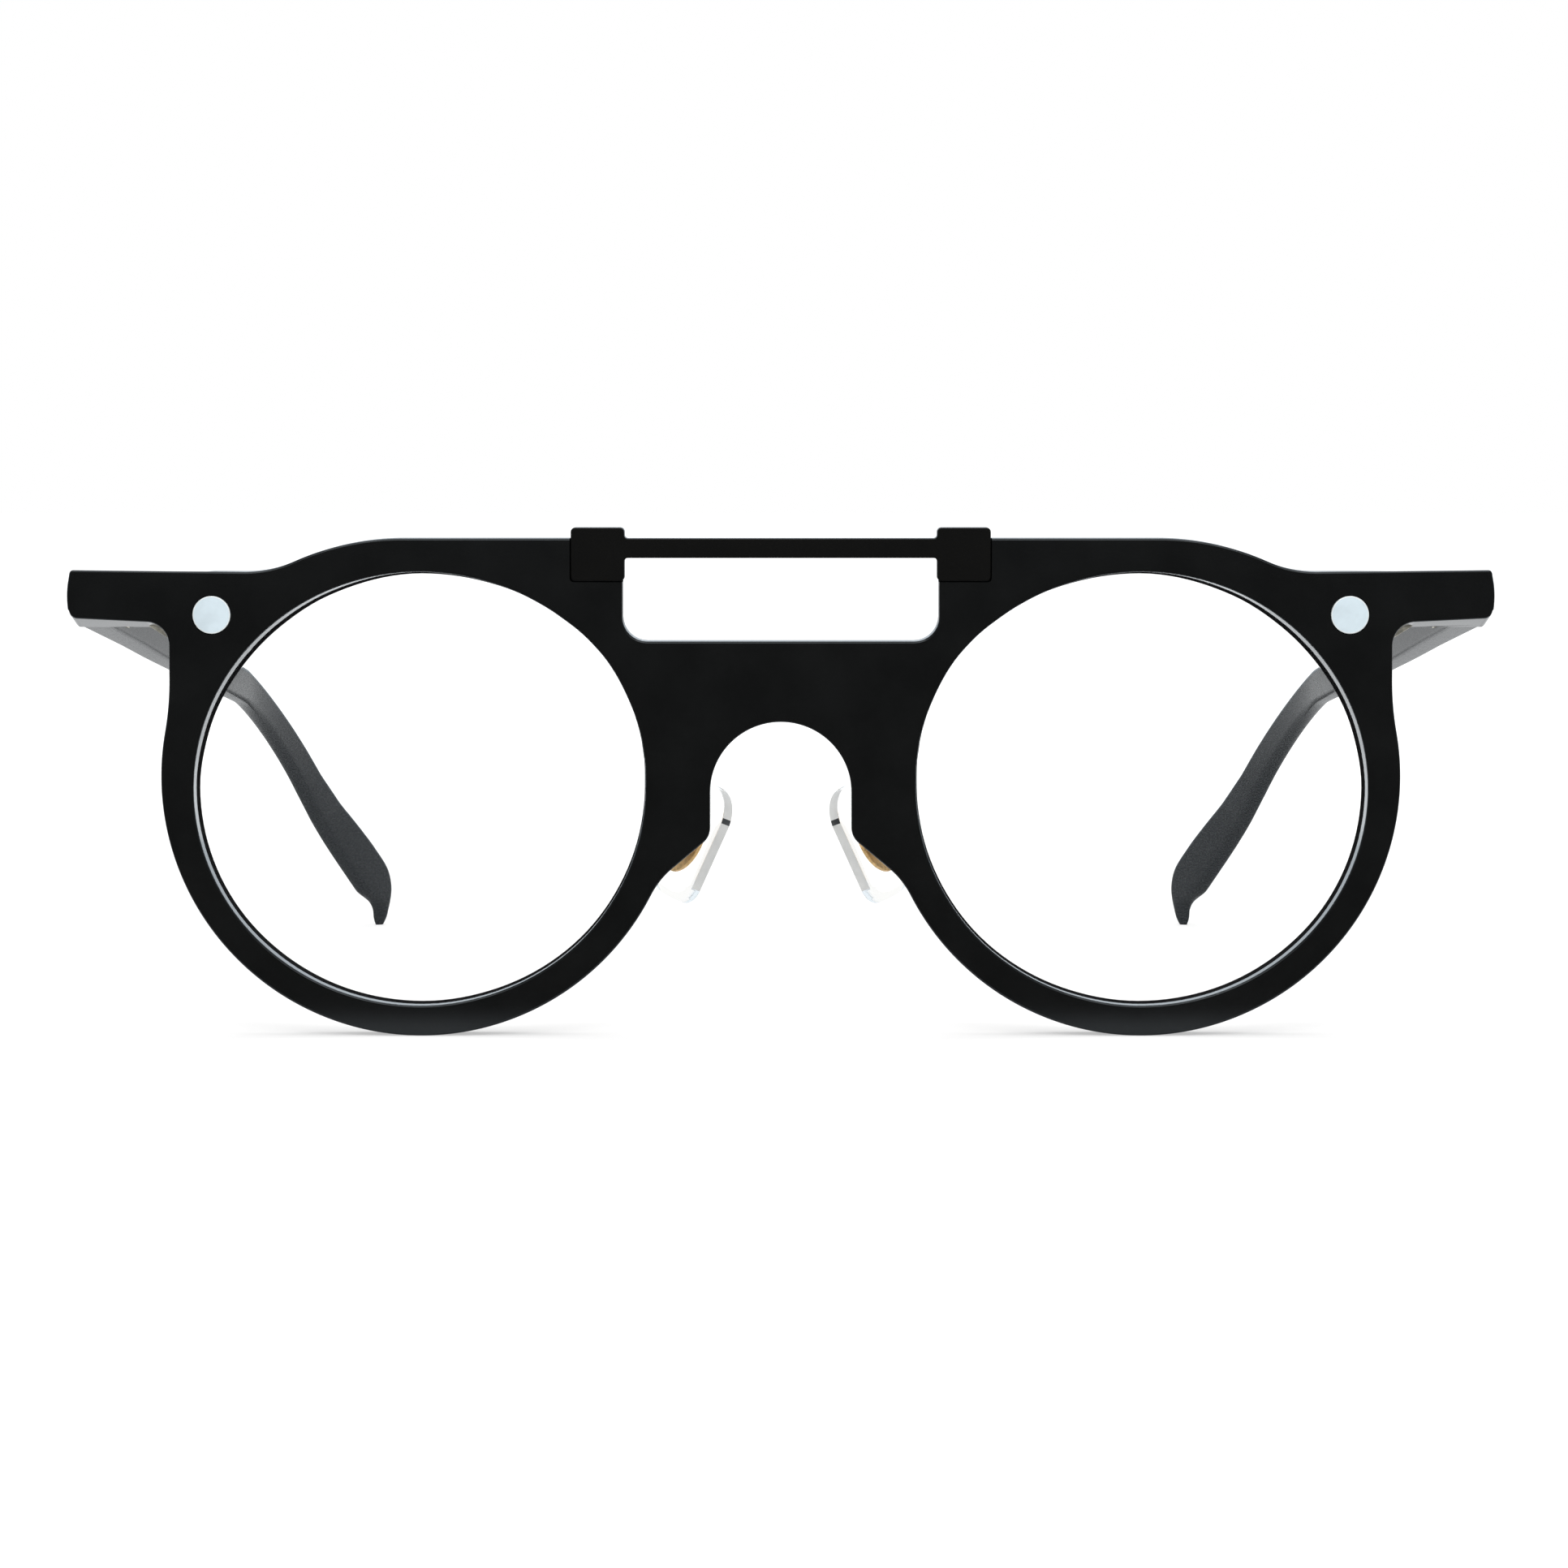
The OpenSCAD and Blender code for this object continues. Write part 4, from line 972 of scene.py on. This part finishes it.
tail_steps = 40
low_line += evenly(low_tail, tail_steps)[1:]
top_line += evenly(top_tail, tail_steps)[1:]
swell_heights, swell_outward = (0.5, 8, 21), (0, 0.95, 0)
top_line = [p + eased(p.y, swell_heights, swell_outward) * polar(90 - tip_slope) if p.x > bend_start.x else p
            for p in top_line]

corner_steps, most_round, round_run = 4, 0.46, 60
root_round, tip_round = (0.45, 0.9, 0.4, 0.45), (0.72, 0.72, 0.72, 0.72)
low_lift, lift_to, lift_run = 0.14, 34, 14
heel_thin, foot_thin, foot_h = 0.35, 0.3, 1.3


def section(low, top):
    """The rounded outline of the temple between a point of its lower and one of its upper edge."""
    lift = low_lift * min(1, max(0, (lift_to - (low.x - butt_y)) / lift_run))
    thin_low, thin_top = [
        1 - heel_thin * max(0, 1 - p.y / heel_rise) - foot_thin * max(0, 1 - p.y / foot_h) ** 2
        for p in (low, top)]
    low_in, low_out = [at(temple_x(low.x, way * thin_low), low.x, low.y + lift) for way in (-1, 1)]
    top_in, top_out = [at(temple_x(top.x, way * thin_top), top.x, top.y) for way in (-1, 1)]
    wide, high = (low_out - low_in).length, (top_out - low_out).length
    part = min((low.x - butt_y) / round_run, 1)
    points = []
    for k, (u, w) in enumerate(((0, 0), (1, 0), (1, 1), (0, 1))):
        r = (root_round[k] + (tip_round[k] - root_round[k]) * part) * MM
        r = min(r, most_round * wide, most_round * high)
        for step in range(corner_steps + 1):
            turn = radians(180 + 90 * k + 90 * step / corner_steps)
            across = u + (1 - 2 * u) * r / wide + cos(turn) * r / wide
            up = w + (1 - 2 * w) * r / high + sin(turn) * r / high
            low_at, top_at = low_in.lerp(low_out, across), top_in.lerp(top_out, across)
            points.append(low_at.lerp(top_at, up))
    return points


temple = trace("temple", section(low_line[0], top_line[0]))
mesh = mesh_of(temple)
mesh.verts.ensure_lookup_table()
ring = list(range(len(mesh.verts)))
for low, top in zip(low_line[1:], top_line[1:]):
    bpy.ops.mesh.extrude_region_move()
    mesh = mesh_of(temple)
    mesh.verts.ensure_lookup_table()
    new_ring = [next(e.other_vert(mesh.verts[i]) for e in mesh.verts[i].link_edges
                     if e.other_vert(mesh.verts[i]).select) for i in ring]
    for v, co in zip(new_ring, section(low, top)):
        v.co = co
    ring = [v.index for v in new_ring]
    bmesh.update_edit_mesh(temple.data)
face_outwards()
select(temple, lambda e: e.is_manifold and e.calc_face_angle() > radians(60) and (
    on_plane(e, at(0, butt_y, 0).y) or all(v.co.z < 0.01 * MM for v in e.verts)), "edges")
round_edges(joint_edge, 2)
clear_selection()
pocket_low, pocket_size = (-temple_w / 2 - 1, leaf_start - 0.03, -1.63), (2.03, 9.06, 3.26)
temple_barrel_gap = 0.2
bpy.ops.mesh.primitive_cube_add(size=MM, location=(MM / 2, MM / 2, MM / 2))
leaf_pocket = applied("leaf_pocket")
leaf_pocket.data.transform(
    temple_axes @ Matrix.Translation(Vector(pocket_low) * MM) @ Matrix.Diagonal((*pocket_size, 1)))
cut(temple, leaf_pocket)
clear_barrel(temple, 1, temple_barrel_gap)
temple_acetate = acetate("black_temple_acetate", (0.0075, 0.0082, 0.0092), 0.26, 0.05, 0.38)
core_steel = metal("drawn_core_steel", (0.56, 0.56, 0.54), 0.3, 2500, 1.0, (1, 0.1, 1))
for piece, name in left_and_right(temple, "_acetate_temple"):
    coat(piece, temple_acetate)
    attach(piece, name + "_temple")
    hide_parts(name + "_temple")
    core = dressed(name + "_temple_core", name + "_steel_core", 0.05)
    outward = -1 if name == "left" else 1
    for v in core.data.vertices:
        depth = (v.co.y - FACE_Y) / MM
        v.co.x += outward * (inward(depth, bend_start.x) - inward(depth, curve_y)) * MM
    coat(core, core_steel)
    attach(core, name + "_temple")
    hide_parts(name + "_temple_core")

# Each pad arm is a gilt wire, brazed to an oval foot that is let into the back of the front, and bent
# round to a small box. The box holds the lug of the pad between two cheeks, on a tiny screw.
arm_r, arm_foot_a, arm_foot_b, arm_foot_t, arm_foot_edge = 0.45, 1.5, 2.3, 0.8, 0.15
arm_foot_at = Vector((10.5, plate_t, arch_z + 1.6))
pad_c, pad_splay, pad_tilt = Vector((9.6, plate_t + 5, arch_z - 5.4)), 40, 24.4
pad_axis_x, cheek_start, cheek_t, cheek_h, box_wall_x, box_end, lug_w = 2.4, 1.8, 0.6, 2.8, 3.5, 4.1, 1.3
pad_axes = Matrix.Translation(at(*pad_c)) @ turned(-pad_tilt, "Y") @ turned(-pad_splay, "Z")
pad_gold = metal("gilt_pad_metal", (0.95, 0.62, 0.27), 0.36, 5200, 0.3, (1, 1, 1), 0.3, 2800.0)
arm_joint = pad_axes @ (Vector(((box_wall_x + box_end) / 2, 0, 0)) * MM)
arm_bends = [(0, 0.4, 0), (0.4, 3.2, -0.2), (1.6, 4.4, -2.4), (2.3, 3.8, -4.6)]
arm_route = [at(*(arm_foot_at + Vector(b))) for b in arm_bends] + [arm_joint]
pin_head_r, pin_head_t, pin_r = 0.75, 0.35, 0.4
clear_selection()
bpy.ops.curve.primitive_bezier_curve_add(location=(0, 0, 0))
wire = bpy.context.object
wire.data.splines.remove(wire.data.splines[0])
route = wire.data.splines.new("BEZIER")
route.bezier_points.add(len(arm_route) - 1)
for point, co in zip(route.bezier_points, arm_route):
    point.co = co
    point.handle_left_type = point.handle_right_type = "AUTO"
wire.data.dimensions = "3D"
wire.data.bevel_depth = arm_r * MM
wire.data.bevel_resolution = 5
wire.data.resolution_u = 10
wire.data.use_fill_caps = True
bpy.ops.object.convert(target="MESH")
foot_plate = cylinder("foot_plate", 1, arm_foot_t * MM, at(arm_foot_at.x, plate_t, arm_foot_at.z), 48, pi / 2,
                      (arm_foot_a * MM, arm_foot_b * MM, 1))
bpy.ops.object.mode_set(mode="EDIT")
select(foot_plate, lambda e: on_plane(e, at(0, plate_t + arm_foot_t / 2, 0).y), "edges")
round_edges(arm_foot_edge, 3)
clear_selection()
cheek_gap, box_edge = 0.1, 0.14
half = lug_w / 2 + cheek_gap
box = trace("pad_box", [Vector(p) * MM for p in (
    (cheek_start, -half - cheek_t, -cheek_h / 2), (box_end, -half - cheek_t, -cheek_h / 2),
    (box_end, half + cheek_t, -cheek_h / 2), (cheek_start, half + cheek_t, -cheek_h / 2),
    (cheek_start, half, -cheek_h / 2), (box_wall_x, half, -cheek_h / 2),
    (box_wall_x, -half, -cheek_h / 2), (cheek_start, -half, -cheek_h / 2))])
draw_out(0, 0, cheek_h)
face_outwards()
select(box, lambda e: e.calc_face_angle_signed() > radians(50), "edges")
round_edges(box_edge, 3)
clear_selection()
box.data.transform(pad_axes)
arm = joined("right_bent_pad_arm", [wire, foot_plate, box])
for piece, name in left_and_right(arm, "_bent_pad_arm", 32):
    coat(piece, pad_gold)
    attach(piece, "front")
    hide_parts(name + "_pad_arm")
    pin_half = half + cheek_t
    along = pad_axes @ Matrix.Translation(Vector((pad_axis_x, pin_half, 0)) * MM) @ turned(-90, "X")
    pad_pin = slotted_screw(name + "_pad_pin", along, pin_head_r, pin_head_t, pin_r, 2 * pin_half)
    if name == "left":
        turn_over(pad_pin)
        finish_mesh(pad_pin, 30)
    coat(pad_pin, pad_gold)
    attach(pad_pin, "front")
    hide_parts(name + "_pad_screw")

# The nose pads are clear soft plastic, moulded round an oval gilt plate whose lug stands out of the
# back. A pad is straight along its front edge and round along the others, and full in the middle.
pad_l, pad_w = 12.4, 7.6
plate_stretch = (1, 1.15, 1.12, 1)
pad_rounding = (0.5, 0.95, 0.95, 0.9)
w, l = pad_w / 2, pad_l / 2
corners = [Vector((-w, -l)), Vector((w, -l)), Vector((w, l)), Vector((-w, l))]
pad_outline = []
for i in range(4):
    pad_outline += corner(corners[i - 1], corners[i], corners[(i + 1) % 4], w * pad_rounding[i], 12)
pad_edge_low, pad_edge_high = -1.12, 0.05
pad = trace("right_clear_nose_pad", [Vector((pad_edge_low, p.x, p.y)) * MM for p in pad_outline])
bpy.ops.mesh.remove_doubles(threshold=1e-7)
draw_out(pad_edge_high - pad_edge_low, 0, 0)
face_outwards()


def crown(piece, facing, steps):
    """Domes one face of the pad: rings are drawn in towards its middle, each a step further out."""
    select(piece, lambda f: f.normal.x * facing > 0.9, "faces")
    for ring, out in steps:
        bpy.ops.mesh.extrude_region_move()
        bpy.ops.transform.resize(value=(1, ring, ring), center_override=(0, 0, 0))
        mesh = mesh_of(piece)
        for v in mesh.verts:
            if v.select:
                v.co.x = out * MM
        bmesh.update_edit_mesh(piece.data)


crown(pad, -1, ((0.985, -1.17), (0.96, -1.2), (0.9, -1.22), (0.7, -1.25), (0.4, -1.27)))
crown(pad, 1, ((0.985, 0.12), (0.96, 0.22), (0.9, 0.42), (0.82, 0.58), (0.74, 0.82), (0.66, 0.97),
               (0.4, 1.0)))
face_outwards()
# Along the front edge of each pad a strip is painted: opaque pale grey, a painted reflection of the light the
# clear edge shows.
strip_low, mark_low, mark_high, facing_front = -4.4, 3.1, 3.65, -0.3
# Between mark_low and mark_high the strip carries a short dark band, a painted dark reflection.
for mark in (strip_low, mark_low, mark_high):
    select(pad, lambda f: f.normal.y < facing_front, "faces")
    bpy.ops.mesh.bisect(plane_co=(0, 0, mark * MM), plane_no=(0, 0, 1))
for f in mesh_of(pad).faces:
    middle = f.calc_center_median() / MM
    on_edge = (f.normal.y < facing_front and pad_edge_low < middle.x < pad_edge_high
               and middle.z > strip_low)
    f.material_index = 0 if not on_edge else 2 if mark_low < middle.z < mark_high else 1
clear_selection()
pad.data.transform(pad_axes)
pad_clear = clear_plastic("soft_clear_pad", (0.985, 0.985, 0.97), 0.03, 1.2, 700.0, 0.1)
# The pale strip is opaque, not clear: a painted reflection on the edge of the clear pad.
pale_strip_painted_reflection, tree, shader = new_material("pad_strip_painted_reflection")
two_tone(tree, shader, noise(tree, 800.0, 2.0), (0.80, 0.81, 0.80), (0.97, 0.98, 0.97))
worked(tree, shader, noise(tree, 3600.0, 3.0), (0.38, 0.55), 0.1, 0.006)
# The dark band is a painted reflection of a dark part nearby, not a mark on the pad.
dark_band_painted_reflection = acetate("pad_painted_dark_reflection", (0.065, 0.068, 0.072), 0.4, 0.3, 0.3)
for piece, name in left_and_right(pad, "_clear_nose_pad", 60):
    coat(piece, pad_clear, pale_strip_painted_reflection, dark_band_painted_reflection)
    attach(piece, name + "_pad")
    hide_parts(name + "_nose_pad")
    plate = dressed(name + "_pad_core", name + "_gilt_pad_plate", 0.1)
    own_axes = Matrix.Diagonal((-1 if name == "left" else 1, 1, 1, 1)) @ pad_axes
    plate.data.transform(own_axes @ Matrix.Diagonal(plate_stretch) @ own_axes.inverted())
    coat(plate, pad_gold)
    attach(plate, name + "_pad")
    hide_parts(name + "_pad_core")
